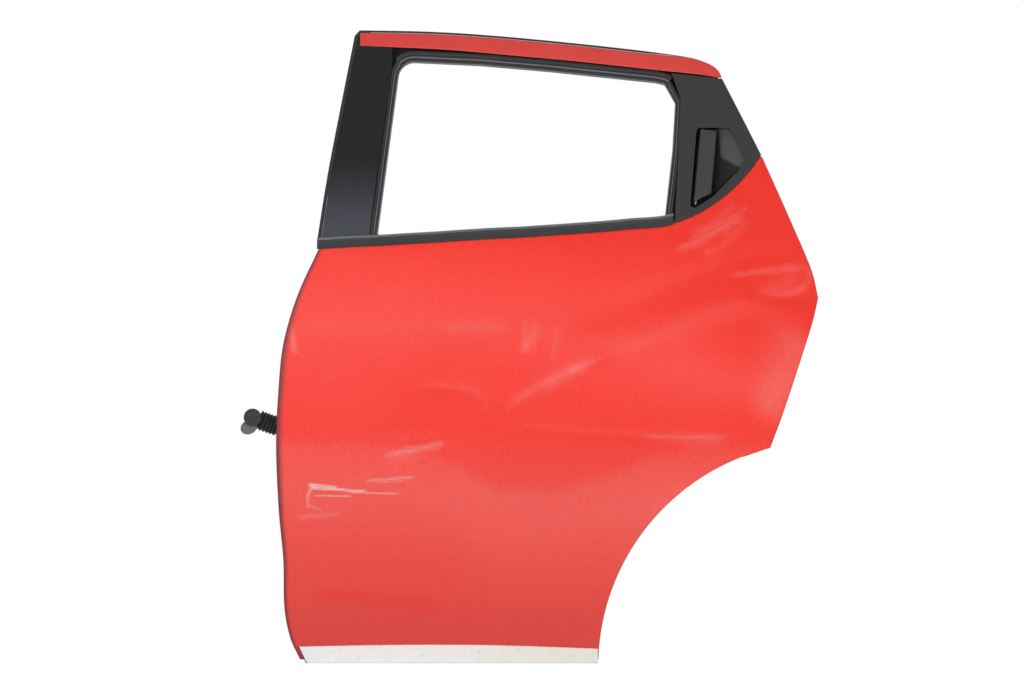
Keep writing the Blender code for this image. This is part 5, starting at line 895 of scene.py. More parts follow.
@dataclass(frozen=True)
class ScratchedPaint(Finish):
    """Body paint under clear lacquer, with dust at the bottom, painted shade that darkens it towards the
    bottom, painted highlights and shade along its dents, and scuffs down to the primer.
    """

    # The first colour is a film of dust; the next two are dust with painted shade that darkens the paint
    # towards the bottom.
    haze: str = "#f0483e"
    dust_and_shade: str = "#ea463d"
    dust_and_deeper_shade: str = "#dc443d"
    # The next two colours paint highlights and shade along the dents and creases.
    light: str = "#ffa39b"
    dark: str = "#ea2213"
    # Painted shade along the hemmed edge, where the metal turns away.
    edge: str = "#86262d"
    scuff: str = "#edc9c5"

    def marked(self, tree: Tree, where: Socket, colour: Socket) -> Socket:
        """The paint's colour with its dust, its painted highlights and shade, and its scuffs.

        Args:
            tree: the node tree.
            where: object coordinates.
            colour: the clean paint.

        Returns:
            The colour.
        """
        height = axis_of(tree, where, "Z")
        # Dust towards the bottom, with painted shade that grows darker lower down.
        overlays = ((self.haze, -0.32, -0.16), (self.dust_and_shade, -0.45, -0.34), (self.dust_and_deeper_shade, -0.57, -0.45))
        for overlay, low, high in overlays:
            colour = tinted(tree, ranged(tree, height, low, high, 1.0, 0.0, soft=True), colour, overlay)
        # Painted highlights and painted shade along the dents, broken into patches; the light ones also stand
        # for dull rubbed lacquer.
        tone = attribute(tree, "tone")
        patchiness = ranged(tree, noise(tree, where, 160.0, 5.0), 0.0, 1.0, 0.1, 0.9)
        for sign, mark in ((1.0, self.light), (-1.0, self.dark)):
            share = computed(tree, "MULTIPLY", tone, sign, use_clamp=True)
            colour = tinted(tree, computed(tree, "MULTIPLY", share, patchiness), colour, mark)
        # Painted shade: a dark maroon line along the hemmed edge.
        rim = ranged(tree, attribute(tree, "edge"), 0.30, 0.75, soft=True)
        colour = tinted(tree, rim, colour, self.edge)
        slow = noise(tree, where, 60.0, 6.0)
        drawn = add_node(tree, "ShaderNodeMapping", {"Vector": where, "Scale": (0.05, 1.0, 1.0)}).outputs[0]
        broken = ranged(tree, noise(tree, drawn, 700.0, 3.0), 0.24, 0.50)
        streaks = [streak.drawn(tree, where, slow) for streak in STREAKS]
        mask = reduce(lambda one, other: computed(tree, "MAXIMUM", one, other), streaks)
        return tinted(tree, computed(tree, "MULTIPLY", mask, broken), colour, self.scuff)


@dataclass(frozen=True)
class SoiledPlastic(Finish):
    """White moulded plastic with road dirt: darker specks, and yellower towards its rear end."""

    dirt: str = "#c9c8bf"
    aged: str = "#f0f2e6"

    def marked(self, tree: Tree, where: Socket, colour: Socket) -> Socket:
        """The plastic's colour with its dirt."""
        age = ranged(tree, axis_of(tree, where, "X"), 0.25, 0.50)
        specks = ranged(tree, noise(tree, where, 160.0, 8.0), 0.60, 0.74, 0.0, 0.7)
        return tinted(tree, specks, tinted(tree, age, colour, self.aged), self.dirt)


@dataclass(frozen=True)
class GlossWithPaintedReflection(Finish):
    """Gloss plastic, painted lighter towards the belt as a painted reflection of the pale floor."""

    painted_light_colour: str = "#484b53"

    def marked(self, tree: Tree, where: Socket, colour: Socket) -> Socket:
        """The plastic's colour with its painted reflection."""
        overlay = ranged(tree, axis_of(tree, where, "Z"), 0.17, 0.32, 0.9, 0.0, soft=True)
        return tinted(tree, overlay, colour, self.painted_light_colour)


@dataclass(frozen=True)
class RecessWithPaintedShade(Finish):
    """Grained plastic painted lighter above a slanting line and away from the paddle, as painted light, and
    dark in the deep corner as painted shade.
    """

    painted_light_colour: str = "#535354"

    def marked(self, tree: Tree, where: Socket, colour: Socket) -> Socket:
        """The plastic's colour with its painted light and shade."""
        here = vector(tree, "SUBTRACT", where, (0.7633, 0.0, 0.3231)).outputs[0]
        shares = []
        for way, low, high in (((0.531, 0.0, 1.0), -10 * MM, -2 * MM), ((1.0, 0.0, 0.1), 4 * MM, 10 * MM)):
            reach = vector(tree, "DOT_PRODUCT", here, way).outputs["Value"]
            shares.append(ranged(tree, reach, low, high, soft=True))
        return tinted(tree, computed(tree, "MULTIPLY", *shares), colour, self.painted_light_colour)


# Two-layer body paint on pressed steel: red base under lacquer, slight orange peel of about 3 mm.
RED_PAINT = ScratchedPaint(
    "lacquered_red_body_paint", "red_paint", "#f82a17", "#f62e1b", 0.27,
    pattern_mm=3.0, bump_mm=0.006, specular=0.42,
)
# The same paint on the header, duller, and darker as painted shade on this backward-leaning panel.
RAIL_PAINT = ScratchedPaint(
    "shaded_red_body_paint", "red_paint", "#e2443c", "#df3f37", 0.36, pattern_mm=3.0, bump_mm=0.006
)
# The same paint on the inner pressing, without lacquer scuffs and a little duller.
INNER_PAINT = Finish(
    "thin_red_paint_on_pressing", "red_paint", "#dc3026", "#d22d24", 0.42, pattern_mm=4.0, bump_mm=0.01
)
# Matt black film stuck over the painted window frame; on the belt strip the same finish is painted shade in
# the groove under the lip.
BLACKOUT_FILM_AND_GROOVE_SHADE = Finish(
    "matt_black_film_and_groove_shade", "red_paint", "#353638", "#3a3b3d", 0.6, pattern_mm=2.0, bump_mm=0.01, specular=0.4
)
# Injection moulded acrylic: deep black, almost a mirror, painted lighter towards the belt as a painted
# reflection.
GLOSS_BLACK = GlossWithPaintedReflection(
    "gloss_black_acrylic", "gloss_black", "#0d0e0f", "#111214", 0.16,
    pattern_mm=30.0, bump_mm=0.01, specular=0.25,
)
# Polypropylene with a moulded leather grain of about 1 mm, dark grey and dull.
GRAINED_BLACK = Finish(
    "grained_polypropylene", "textured_black", "#2a2a2b", "#2f2f30", 0.55,
    pattern=Texture.GRAIN, pattern_mm=1.2, bump_mm=0.08, specular=0.4,
)
# The paddle's moulding, polished a little lighter by hands.
PADDLE_BLACK = Finish(
    "handled_polypropylene", "textured_black", "#343435", "#3a3a3b", 0.48,
    pattern=Texture.GRAIN, pattern_mm=1.2, bump_mm=0.05, specular=0.4,
)
# The same plastic in the handle's recess: painted light on its upper floor, and painted shade in the deep
# corner.
RECESS_GREY = RecessWithPaintedShade(
    "recess_polypropylene_painted_shade", "textured_black", "#161617", "#1b1b1c", 0.62,
    pattern=Texture.GRAIN, pattern_mm=1.2, bump_mm=0.06, specular=0.3,
)
# EPDM rubber, matt with a faint bloom.
RUBBER = Finish(
    "matt_epdm_rubber", "black_rubber", "#28292b", "#303133", 0.70, pattern_mm=2.0, bump_mm=0.03, specular=0.4
)
# The window channel's flocked rubber, a little greyer and streaked by the glass.
FLOCKED_RUBBER = Finish(
    "flocked_epdm_channel", "black_rubber", "#37393c", "#434548", 0.75,
    pattern_mm=1.5, bump_mm=0.05, specular=0.4,
)
# Light grey rubber lip: painted highlight along the lips and ribs that catch the light.
GREY_RUBBER = Finish(
    "epdm_lip_painted_highlight", "black_rubber", "#757577", "#858587", 0.82, pattern_mm=2.0, bump_mm=0.03
)
# Moulded white polypropylene, soiled.
WHITE_PLASTIC = SoiledPlastic(
    "soiled_white_polypropylene", "white_plastic", "#fafcfc", "#f2f5f4", 0.45, pattern_mm=3.0, bump_mm=0.02
)
# Zinc plated steel: pale grey, slightly yellow, finely uneven.
PLATED = Finish(
    "zinc_plated_steel", "plated_steel", "#b3b0a4", "#9c988a", 0.38, metallic=1.0,
    pattern=Texture.BRUSHED, pattern_mm=1.0, bump_mm=0.01,
)
# Phosphated steel: dark grey with light handling marks.
DARK_STEEL = Finish(
    "phosphated_steel", "dark_steel", "#5b5955", "#4a4845", 0.5, metallic=1.0,
    pattern=Texture.BRUSHED, pattern_mm=1.5, bump_mm=0.01,
)
# Glass-filled nylon: plain black moulding.
BLACK_PLASTIC = Finish(
    "black_moulded_nylon", "black_plastic", "#262627", "#2c2c2d", 0.5, pattern_mm=1.5, bump_mm=0.02
)
# The pale grey connector block that shows under the boot's cap.
GREY_PLASTIC = Finish(
    "grey_moulded_nylon", "black_plastic", "#6a6a6a", "#626263", 0.5, pattern_mm=1.5, bump_mm=0.02
)


def dress(piece: Piece, finish: Finish, *nodes: str) -> Piece:
    """Gives a piece its finish and its body, and hides the CAD nodes that it stands for.

    Args:
        piece: the finished mesh.
        finish: its material.
        nodes: CAD nodes that it replaces; it rides with the first one.

    Returns:
        The same piece.
    """
    if not piece.data.materials:
        piece.data.materials.append(finish.made())
    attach(piece, frame["nodes"][nodes[0]]["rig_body"])
    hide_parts(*nodes)
    log.info("%s: %d faces for %s", piece.name, len(piece.data.polygons), ", ".join(nodes))
    return piece


def pressed(piece: Piece, thickness: float, finish: Finish, node: str) -> None:
    """Turns an open net into a dressed sheet.

    Args:
        piece: the net.
        thickness: of the sheet, away from the door's outer side.
        finish: its material.
        node: CAD node that it replaces.
    """
    if sum(face.normal.y * face.area for face in piece.data.polygons) > 0:
        in_edit(piece, bpy.ops.mesh.flip_normals)
    finish_with(piece, "SOLIDIFY", thickness=thickness, offset=-1.0, use_even_offset=False)
    round_shading(piece, 40)
    dress(piece, finish, node)


def strip(name: str, rows: Sequence, degrees: float, finish: Finish, node: str) -> Piece:
    """A dressed moulding with the same kind of section all along.

    Args:
        name: name of the new object.
        rows: one closed section of door coordinates for each station.
        degrees: angle over which an edge stays sharp.
        finish: its material.
        node: CAD node that it replaces.

    Returns:
        The moulding.
    """
    piece = net_piece(name, np.array(rows), closed=True)
    round_shading(piece, degrees)
    return dress(piece, finish, node)


def refined(node: str, finish: Finish, edge_mm: float = 0.0, degrees: float = 35.0) -> Piece:
    """A merged copy of a CAD node with its edges softened.

    Args:
        node: name of the CAD node.
        finish: its material.
        edge_mm: radius of its edges, 0 for none.
        degrees: angle over which an edge stays sharp.

    Returns:
        The dressed copy.
    """
    mesh = frame["nodes"][node].data.copy()
    mesh.materials.clear()
    piece = placed(f"{node}_finished", mesh)
    if mesh.has_custom_normals:
        only(piece)
        bpy.ops.mesh.customdata_custom_splitnormals_clear()
    steps = [weld]
    if edge_mm:
        steps.append(lambda: bpy.ops.mesh.dissolve_limited(angle_limit=math.radians(0.4)))
    in_edit(piece, *steps)
    if edge_mm:
        bevel(piece, edge_mm * MM, degrees)
    round_shading(piece, degrees)
    return dress(piece, finish, node)


def refine_all(*groups: tuple[Finish, float, float, str]) -> None:
    """Dresses groups of CAD nodes: finish, edge radius in mm, sharp angle and names of each group."""
    for finish, edge_mm, degrees, nodes in groups:
        for node in nodes.split():
            refined(node, finish, edge_mm, degrees)


def coat_faces(
    piece: Piece,
    finishes: Sequence[Finish],
    chosen: Callable[[Face, Vector], int],
) -> None:
    """Gives each face one of several finishes.

    Args:
        piece: the piece.
        finishes: finishes that are added to those it has.
        chosen: number of a face's finish, from the face and its middle on the door.
    """
    for finish in finishes:
        piece.data.materials.append(finish.made())
    for face in piece.data.polygons:
        face.material_index = int(chosen(face, face.center - DOOR_AT))


# Sub-assemblies


def lip_width(x: np.ndarray | float) -> np.ndarray:
    """How far the roof seal's lip stands over the header; it runs out at the rear."""
    return 4.1 * MM - 4.2 * MM * ease(650 * MM, 760 * MM, x)


@dataclass
class PaintedShell:
    """The red pressings that show: the outer skin with its dents, and the header of the window frame.

    Attributes:
        thickness: of the sheet steel.
        hem: depth of the fold round the skin's edge.
        lip: width of the folded part behind.
        belt_return: depth of the fold at the belt.
        header_start: where the red header begins, behind its seal.
        crown: how far the header bulges.
        edge_round: how far its long edges fall back.
        turn_in: depth of its turned-in edges.
    """

    thickness: float = 0.8 * MM
    hem: float = 4.2 * MM
    lip: float = 9 * MM
    belt_return: float = 9 * MM
    header_start: float = 151.5 * MM
    crown: float = 1.0 * MM
    edge_round: float = 0.4 * MM
    turn_in: float = 4.6 * MM

    def skin_net(self) -> np.ndarray:
        """Points of the skin between its four edges, before its hem.

        Returns:
            x and z, shape (rows, columns, 2).
        """
        bottom, rear, top, front = skin_edges()
        v = np.linspace(0, 1, len(front))[:, None, None]
        u = np.linspace(0, 1, len(bottom))[None, :, None]
        ruled = (1 - v) * bottom[None] + v * top[None] + (1 - u) * front[:, None] + u * rear[:, None]
        corners = (1 - u) * ((1 - v) * bottom[0] + v * top[0]) + u * ((1 - v) * bottom[-1] + v * top[-1])
        return ruled - corners

    def skin(self) -> None:
        """Builds the outer skin with its hem, dents and creases."""
        net = self.skin_net()
        rows, columns = net.shape[0] - 1, net.shape[1] - 1
        chain = [(row, 0) for row in range(rows, 0, -1)] + [(0, column) for column in range(columns)]
        chain += [(row, columns) for row in range(rows + 1)]
        belt = [(rows, column) for column in range(columns - 1, 0, -1)]
        loop = np.array([net[at] for at in chain + belt])
        steps = mitres(loop)
        radius = self.hem / 2
        for at, place, step in zip(chain, loop, steps):
            net[at] = place + step * radius
        x, z = net[..., 0], net[..., 1]
        y = side_y(x, z) + dent_depth(x, z) * ease(0, 0.03, x / DOOR_WIDTH) * self.edge_fade(net.shape)
        points = np.stack([x, y, z], axis=-1)
        flat = points.reshape(-1, 3)
        wide = columns + 1
        faces = []
        for row in range(rows):
            for column in range(columns):
                low = row * wide + column
                faces.append((low, low + 1, low + wide + 1, low + wide))
        added = [tuple(p) for p in flat]
        before = [row * wide + column for row, column in chain]
        turns = (
            (-radius * 0.7, radius * 0.3), (-radius, radius), (-radius * 0.7, self.hem - radius * 0.3),
            (0, self.hem), (self.lip, self.hem),
        )
        for reach, depth in turns:
            start = len(added)
            for place, step in zip(loop[: len(chain)], steps):
                px, pz = place + step * (radius + reach)
                added.append((px, float(side_y(px, pz)) + depth, pz))
            after = list(range(start, start + len(chain)))
            faces += [(before[i], before[i + 1], after[i + 1], after[i]) for i in range(len(chain) - 1)]
            before = after
        edge = [rows * wide + column for column in range(1, wide - 1)]
        start = len(added)
        added += [(added[i][0], added[i][1] + self.belt_return, added[i][2]) for i in edge]
        faces += [(edge[i], edge[i + 1], start + i + 1, start + i) for i in range(len(edge) - 1)]
        # Tones of painted highlight and painted shade along the dents.
        tones = [*painted_light_tone(x, z).reshape(-1)] + [0.0] * (len(added) - len(flat))
        # Marks for the painted shade along the hemmed edge, widest on the front edge.
        sides = [1.0] * (rows + columns) + [0.38] * (rows + 1)
        edges = [0.0] * len(added)
        for i, (row, column) in enumerate(chain):
            edges[row * wide + column] = sides[i]
            for step, value in enumerate((0.66, 0.50, 0.38) if column == 0 else ()):
                edges[row * wide + 1 + step] = value
        for i in range(len(flat), len(flat) + len(turns) * len(chain)):
            edges[i] = sides[(i - len(flat)) % len(chain)]
        piece = piece_from("outer_skin_dented", added, faces, {"tone": tones, "edge": edges})
        pressed(piece, self.thickness, RED_PAINT, "outer_skin")

    @staticmethod
    def edge_fade(shape: tuple[int, ...]) -> np.ndarray:
        """1 over the skin, falling to 0 at its edges, where the hem holds the metal.

        Args:
            shape: of the skin's net.

        Returns:
            The share at each point of the net.
        """
        rows, columns = shape[:2]
        v = np.minimum(np.arange(rows), np.arange(rows)[::-1])[:, None]
        u = np.minimum(np.arange(columns), np.arange(columns)[::-1])[None, :]
        return ease(0, 7, np.minimum(u + 0 * v, v + 0 * u))

    def cut_front(self, line: np.ndarray, count: int) -> np.ndarray:
        """The part of a line behind the seal round the header's front end.

        Args:
            line: the whole line.
            count: number of steps.

        Returns:
            count + 1 points.
        """
        at = np.concatenate([[self.header_start], line[line[:, 0] > self.header_start + 2 * MM, 0]])
        at = np.interp(np.linspace(0, 1, count + 1), np.linspace(0, 1, len(at)), at)
        return np.stack([at, np.interp(at, line[:, 0], line[:, 1])], axis=1)

    def header(self) -> None:
        """Builds the red panel over the window, with a soft crown and turned-in edges."""
        count = 84
        lines = (door_path(line, count) for line in (ROOF_EDGE, RAIL_LINE))
        roof, rail = (self.cut_front(line, count) for line in lines)
        aside = np.gradient(roof, axis=0)
        aside /= np.hypot(aside[:, 0], aside[:, 1])[:, None]
        down = lip_width(roof[:, 0])[:, None] + GAP
        top = roof + np.stack([aside[:, 1], -aside[:, 0]], axis=1) * down
        rows = []
        for share in (0, 0, 0.04, 0.12, 0.3, 0.5, 0.7, 0.88, 0.96, 1, 1):
            at = top + (rail - top) * share
            rounding = min(share * 25, (1 - share) * 25, 1)
            crown = self.crown * np.sqrt(4 * share * (1 - share)) + self.edge_round * rounding
            rows.append(np.stack([at[:, 0], side_y(at[:, 0], at[:, 1]) - crown, at[:, 1]], axis=-1))
        for edge in (rows[0], rows[-1]):
            edge[:, 1] += self.turn_in
        pressed(net_piece("roof_rail_crowned", np.stack(rows)), self.thickness, RAIL_PAINT, "roof_rail")


# How far the belt strip sags below the belt line, at places along the door, in millimetres
BELT_SAG = (
    (80, -1.5), (130, -1.5), (180, -0.5), (230, 0.0), (290, 2.0),
    (360, 3.5), (440, 4.0), (540, 1.0), (640, -1.0), (710, 0.5),
)


def belt_sag(x: float) -> float:
    """How far the belt strip lies below the belt line at x."""
    places, sags = zip(*BELT_SAG)
    return float(np.interp(x / MM, places, sags)) * MM


@dataclass
class BlackTrims:
    """The black outer trims: pillar cover, belt moulding, quarter cover, handle and seals.

    Attributes:
        cover: thickness of the moulded covers.
        proud: how far they stand out from the body side.
        groove_shade_from: height over the belt where the painted shade under the lip begins.
        lip_from: height over the belt where its lip, painted light grey as a highlight, begins.
        run_widths: of the glass run at the front, the top and the rear of the window.
    """

    cover: float = 2.2 * MM
    proud: float = 2.6 * MM
    groove_shade_from: float = 10.2 * MM
    lip_from: float = 15.2 * MM
    run_widths: Place = (15.4 * MM, 22 * MM, 13.4 * MM)

    def pillar(self) -> None:
        """Builds the gloss cover of the middle pillar."""
        belt, rail = door_path(BELT, 60), door_path(RAIL_LINE, 60)
        front = door_path(PILLAR_EDGE, 60)
        window = np.array(on_door(WINDOW_FRONT))
        rows = []
        for v in np.linspace(0, 1, 41):
            z = DOOR_HEIGHT * (0.668 + (0.975 - 0.668) * v)
            left = float(np.interp(z, front[:, 1], front[:, 0])) + 7 * MM + 3 * GAP
            right = float(np.interp(z, window[:, 1], window[:, 0])) - 14 * MM - 4 * GAP
            row = []
            for u in (0, 0, 0.01, 0.03, *np.linspace(0.1, 0.9, 9), 0.97, 0.99, 1, 1):
                x = left + (right - left) * u
                base = height_on(belt, x) + 18 * MM + 7 * MM / 3
                top = height_on(rail, x) - 2 * GAP
                place = base + (top - base) * v
                round_off = 0.8 * MM * (1 - min(u * 33, (1 - u) * 33, 1))
                row.append([x, float(side_y(x, place)) - 1.2 * MM * 4 * u * (1 - u) + round_off, place])
            row[0][1] += 4 * MM
            row[-1][1] += 4 * MM
            rows.append(row)
        pressed(net_piece("pillar_cover_gloss", np.array(rows)), self.cover, GLOSS_BLACK, "pillar_cover")

    def belt(self) -> None:
        """Builds the strip along the belt, with its upper lip in painted highlight and painted shade in the
        groove under it.
        """
        line = door_path(BELT, 180)
        start, end = 0.0755 * DOOR_WIDTH, 0.7330 * DOOR_WIDTH
        stations = [start, *(x for x, _ in line if start < x < end), end]
        seat, clip = 4 * MM + 2 * GAP, 9 * MM + 5 * GAP
        section = (
            (-2.4 * MM, -0.9 * MM), (-0.6 * MM, -0.9 * MM), (-2 * GAP, seat), (clip, seat), (clip, -clip / 2),
            (clip + 2.2 * MM, -clip / 2), (clip + 2.2 * MM, seat + GAP), (clip + 5 * MM, seat + 5 * MM),
            (clip + 4.7 * MM, seat + 6.1 * MM), (clip, seat + 2.2 * MM), (2.2 * MM, 16.2 * MM),
            (1.2 * MM, 18.6 * MM), (GAP, 19.4 * MM), (-0.9 * MM, 19.1 * MM), (-1.5 * MM, 17.6 * MM),
            (-0.2 * MM, 16.8 * MM), (0.6 * MM, 16.0 * MM), (0.6 * MM, 15.0 * MM), (-1.4 * MM, 14.6 * MM),
            (-2.6 * MM, 13.4 * MM), (-3.0 * MM, 11.0 * MM), (-3.0 * MM, 2.4 * MM), (-2.6 * MM, 0.9 * MM),
        )
        rows = []
        for x in stations:
            z = height_on(line, x) - belt_sag(x)
            share = (x - start) / (38 * MM)
            low = -clip / 2 if share > 1 else 1 * MM
            row = []
            for depth, up in section:
                up = max(up, low) if depth > 5 * MM else up
                depth = min(depth, 4.6 * MM) if share < 1 and depth > 5 * MM else depth
                row.append([x, float(side_y(x, z)) + depth, z + up])
            rows.append(row)
        piece = strip("outer_belt_moulding_lipped", rows, 30, GRAINED_BLACK, "outer_belt_moulding")

        def part(_: Face, middle: Vector) -> int:
            """0 for the moulding, 1 for its lip in painted highlight and 2 for the painted shade under the
            lip.
            """
            up = middle.z - height_on(line, middle.x) + belt_sag(middle.x)
            if up <= self.groove_shade_from or middle.y >= float(side_y(middle.x, middle.z)) + 2 * MM:
                return 0
            return 1 if up > self.lip_from else 2

        coat_faces(piece, (GREY_RUBBER, BLACKOUT_FILM_AND_GROOVE_SHADE), part)

    def quarter(self) -> None:
        """Builds the quarter cover, a crowned moulding with the opening for the handle."""
        line = door_path(BELT, 72)
        start = 0.7345 * DOOR_WIDTH
        low = [(start, height_on(line, start))] + [tuple(p) for p in line[:-2] if p[0] > start + 5 * MM]
        loop = self.dense(low + on_door(QUARTER), 9 * MM)
        hole = self.dense(on_door(HANDLE), 7 * MM)
        soft = 1.1 * MM

        def surface(x: float, z: float, down: float = 0.0) -> Place:
            """The point of the cover's outer face at x and z, or one that far behind it."""
            return (x, float(side_y(x, z)) - self.proud + down, z)

        rim = [tuple(p) for p in np.array(loop) + mitres(np.array(loop)) * soft]
        lip = [tuple(p) for p in np.array(hole) - mitres(np.array(hole)) * soft]
        points, faces = self.net_between(rim, lip, 16 * MM)
        out = [surface(x, z) for x, z in points]
        belt_end = next(i for i, p in enumerate(loop) if math.dist(p, low[-1]) < 1e-6)
        back = 7 * MM - 0.9 * MM - 1.5 * MM + self.proud
        for inner, outer, deep in ((rim, loop, back), (lip, hole, 3.4 * MM)):
            before = [min(range(len(points)), key=lambda i: math.dist(points[i], p)) for p in inner]
            half = [((a[0] + 2 * b[0]) / 3, (a[1] + 2 * b[1]) / 3) for a, b in zip(inner, outer)]
            for ring, down in ((half, 0.35 * soft), (outer, soft), (outer, deep)):
                first = len(out)
                out += [surface(x, z, down) for x, z in ring]
                count = len(ring)
                for i in range(count):
                    if down == back and i <= belt_end:
                        continue
                    n = (i + 1) % count
                    faces.append((before[i], before[n], first + n, first + i))
                before = list(range(first, first + count))
        piece = piece_from("quarter_cover_moulded", out, faces)
        in_edit(piece, lambda: bpy.ops.mesh.delete_loose())
        pressed(piece, self.cover * 0.6, GRAINED_BLACK, "quarter_cover")

    @staticmethod
    def dense(loop: Sequence[Point], step: float) -> list[Point]:
        """The loop with points added so that none of its edges is longer than a step."""
        found: list[Point] = []
        for a, b in zip(loop, [*loop[1:], loop[0]]):
            count = max(1, round(math.dist(a, b) / step))
            for k in range(count):
                found.append((a[0] + (b[0] - a[0]) * k / count, a[1] + (b[1] - a[1]) * k / count))
        return found

    @staticmethod
    def net_between(outer: list[Point], hole: list[Point], spacing: float) -> tuple[list[Point], list[tuple]]:
        """Triangles between an outline and the hole in it.

        Args:
            outer: the outline.
            hole: the hole.
            spacing: distance of the points between them.

        Returns:
            The points and the faces.
        """
        points = list(outer) + list(hole)
        edges = [(i, (i + 1) % len(outer)) for i in range(len(outer))]
        edges += [(len(outer) + i, len(outer) + (i + 1) % len(hole)) for i in range(len(hole))]
        fixed = np.array(points)
        low, high = fixed.min(axis=0), fixed.max(axis=0)
        for x in np.arange(low[0] + spacing, high[0], spacing):
            for z in np.arange(low[1] + spacing, high[1], spacing):
                clear = np.hypot(fixed[:, 0] - x, fixed[:, 1] - z).min() > spacing / 2
                if clear and inside(outer, (x, z)) and not inside(hole, (x, z)):
                    points.append((float(x), float(z)))
        flat, _, faces, *_ = geometry.delaunay_2d_cdt([Vector(p) for p in points], edges, [], 0, 1e-7)
        kept = []
        for face in faces:
            middle = (sum(flat[i].x for i in face) / 3, sum(flat[i].y for i in face) / 3)
            if inside(outer, middle) and not inside(hole, middle):
                kept.append(tuple(face))
        return [(p.x, p.y) for p in flat], kept

    def seals(self) -> None:
        """Dresses the rubber seals round the window frame."""
        self.frame_seal()
        refined("pillar_seal", RUBBER)
        self.glass_run()

    def frame_seal(self) -> None:
        """Builds the rubber lip round the header's front end and along the roof."""
        front = door_path(PILLAR_EDGE, 120)
        low = 1107.6 * MM
        start = [[float(np.interp(low, front[:, 1], front[:, 0])), low]]
        front = np.concatenate([start, front[front[:, 1] > low + 1 * MM]])
        roof = door_path(ROOF_EDGE, 100)
        line = np.concatenate([front[:-1], roof[1:]])
        ahead = np.gradient(line, axis=0)
        ahead /= np.hypot(ahead[:, 0], ahead[:, 1])[:, None]
        aside = np.stack([ahead[:, 1], -ahead[:, 0]], axis=1)
        section = (
            (0.3, 5.0), (0.3, 0.2), (0.34, -0.5), (0.42, -0.8), (0.6, -0.7), (0.95, -0.1),
            (1.0, 0.3), (1.0, 5.0),
        )
        rows = []
        for place, step in zip(line, aside):
            wide = max(float(lip_width(place[0])), 1.6 * MM)
            wide += 3.6 * MM * float(1 - ease(0.148, 0.172, place[0]))
            sunk = 5.6 * MM * float(ease(650 * MM, 740 * MM, place[0]))
            row = []
            for k, (share, depth) in enumerate(section):
                at = place + step * (GAP if k < 2 else wide * share)
                row.append([at[0], float(side_y(*at)) + depth * MM + sunk, at[1]])
            rows.append(row)
        strip("roof_seal_lip", rows, 50, RUBBER, "roof_seal")

    def glass_run(self) -> None:
        """Builds the ribbed channel round the window, down to the belt strip at both ends."""
        belt = door_path(BELT, 120)
        loop = rounded(on_door(WINDOW), [share * DOOR_WIDTH for share in WINDOW_RADII], 10)
        steps = mitres(np.array(loop))
        first = next(i for i, (x, _) in enumerate(loop) if x > 0.70 * DOOR_WIDTH) + 10
        order = [i % len(loop) for i in range(first, len(loop) + 1)]
        line = [(np.array(loop[i]), steps[i]) for i in order]
        for end, other in ((0, 1), (-1, -2)):
            place, step = line[end]
            away = place - line[other][0]
            low = height_on(belt, place[0]) + 12.5 * MM
            if place[1] > low + 1 * MM:
                away = away / max(abs(away[1]), 1e-6) * (place[1] - low)
                line.insert(0 if end == 0 else len(line), (place + away, step))
        back = [(1.0, 26.0), (0.0, 26.0), (0.0, 18.0), (0.6, 18.0), (0.6, 11.0), (0.0, 11.0), (0.0, 5.2)]
        front = [
            (0.04, 3.9), (0.24, 3.6), (0.30, 5.4), (0.36, 5.4), (0.42, 3.4), (0.56, 3.2), (0.62, 5.4),
            (0.68, 5.4), (0.72, 3.4), (0.86, 3.2), (0.92, 5.6), (1.0, 5.8),
        ]
        # The lip and rib strips carry the light grey of painted highlights along the channel.
        lip = [(0.02, 3.3), (0.04, 2.7), (0.12, 2.5), (0.16, 3.1)]
        rib = [(0.45, 3.0), (0.47, 2.4), (0.52, 2.3), (0.55, 2.8)]
        for name, finish, section in (
            ("glass_run_channel", FLOCKED_RUBBER, front + back), ("glass_run_lip", GREY_RUBBER, lip),
            ("glass_run_rib", GREY_RUBBER, rib),
        ):
            rows = []
            for place, step in line:
                wide, top, rear = self.run_widths
                if place[1] > 0.945 * DOOR_HEIGHT or step[1] < -abs(step[0]):
                    wide = top
                if place[0] > 0.64 * DOOR_WIDTH and step[1] > -abs(step[0]):
                    wide = rear
                spots = [(place - step * wide * share, depth) for share, depth in section]
                rows.append([[at[0], float(side_y(*at)) + depth * MM, at[1]] for at, depth in spots])
            strip(name, rows, 40, finish, "glass_run_seal")

    def handle(self) -> None:
        """Dresses the recess, the paddle, its pin and its spring."""
        refine_all(
            (RECESS_GREY, 0.0, 30, "handle_bowl"), (PADDLE_BLACK, 0.9, 30, "handle_paddle"),
            (PLATED, 0.2, 35, "handle_pin"), (PLATED, 0.0, 35, "handle_spring"),
        )


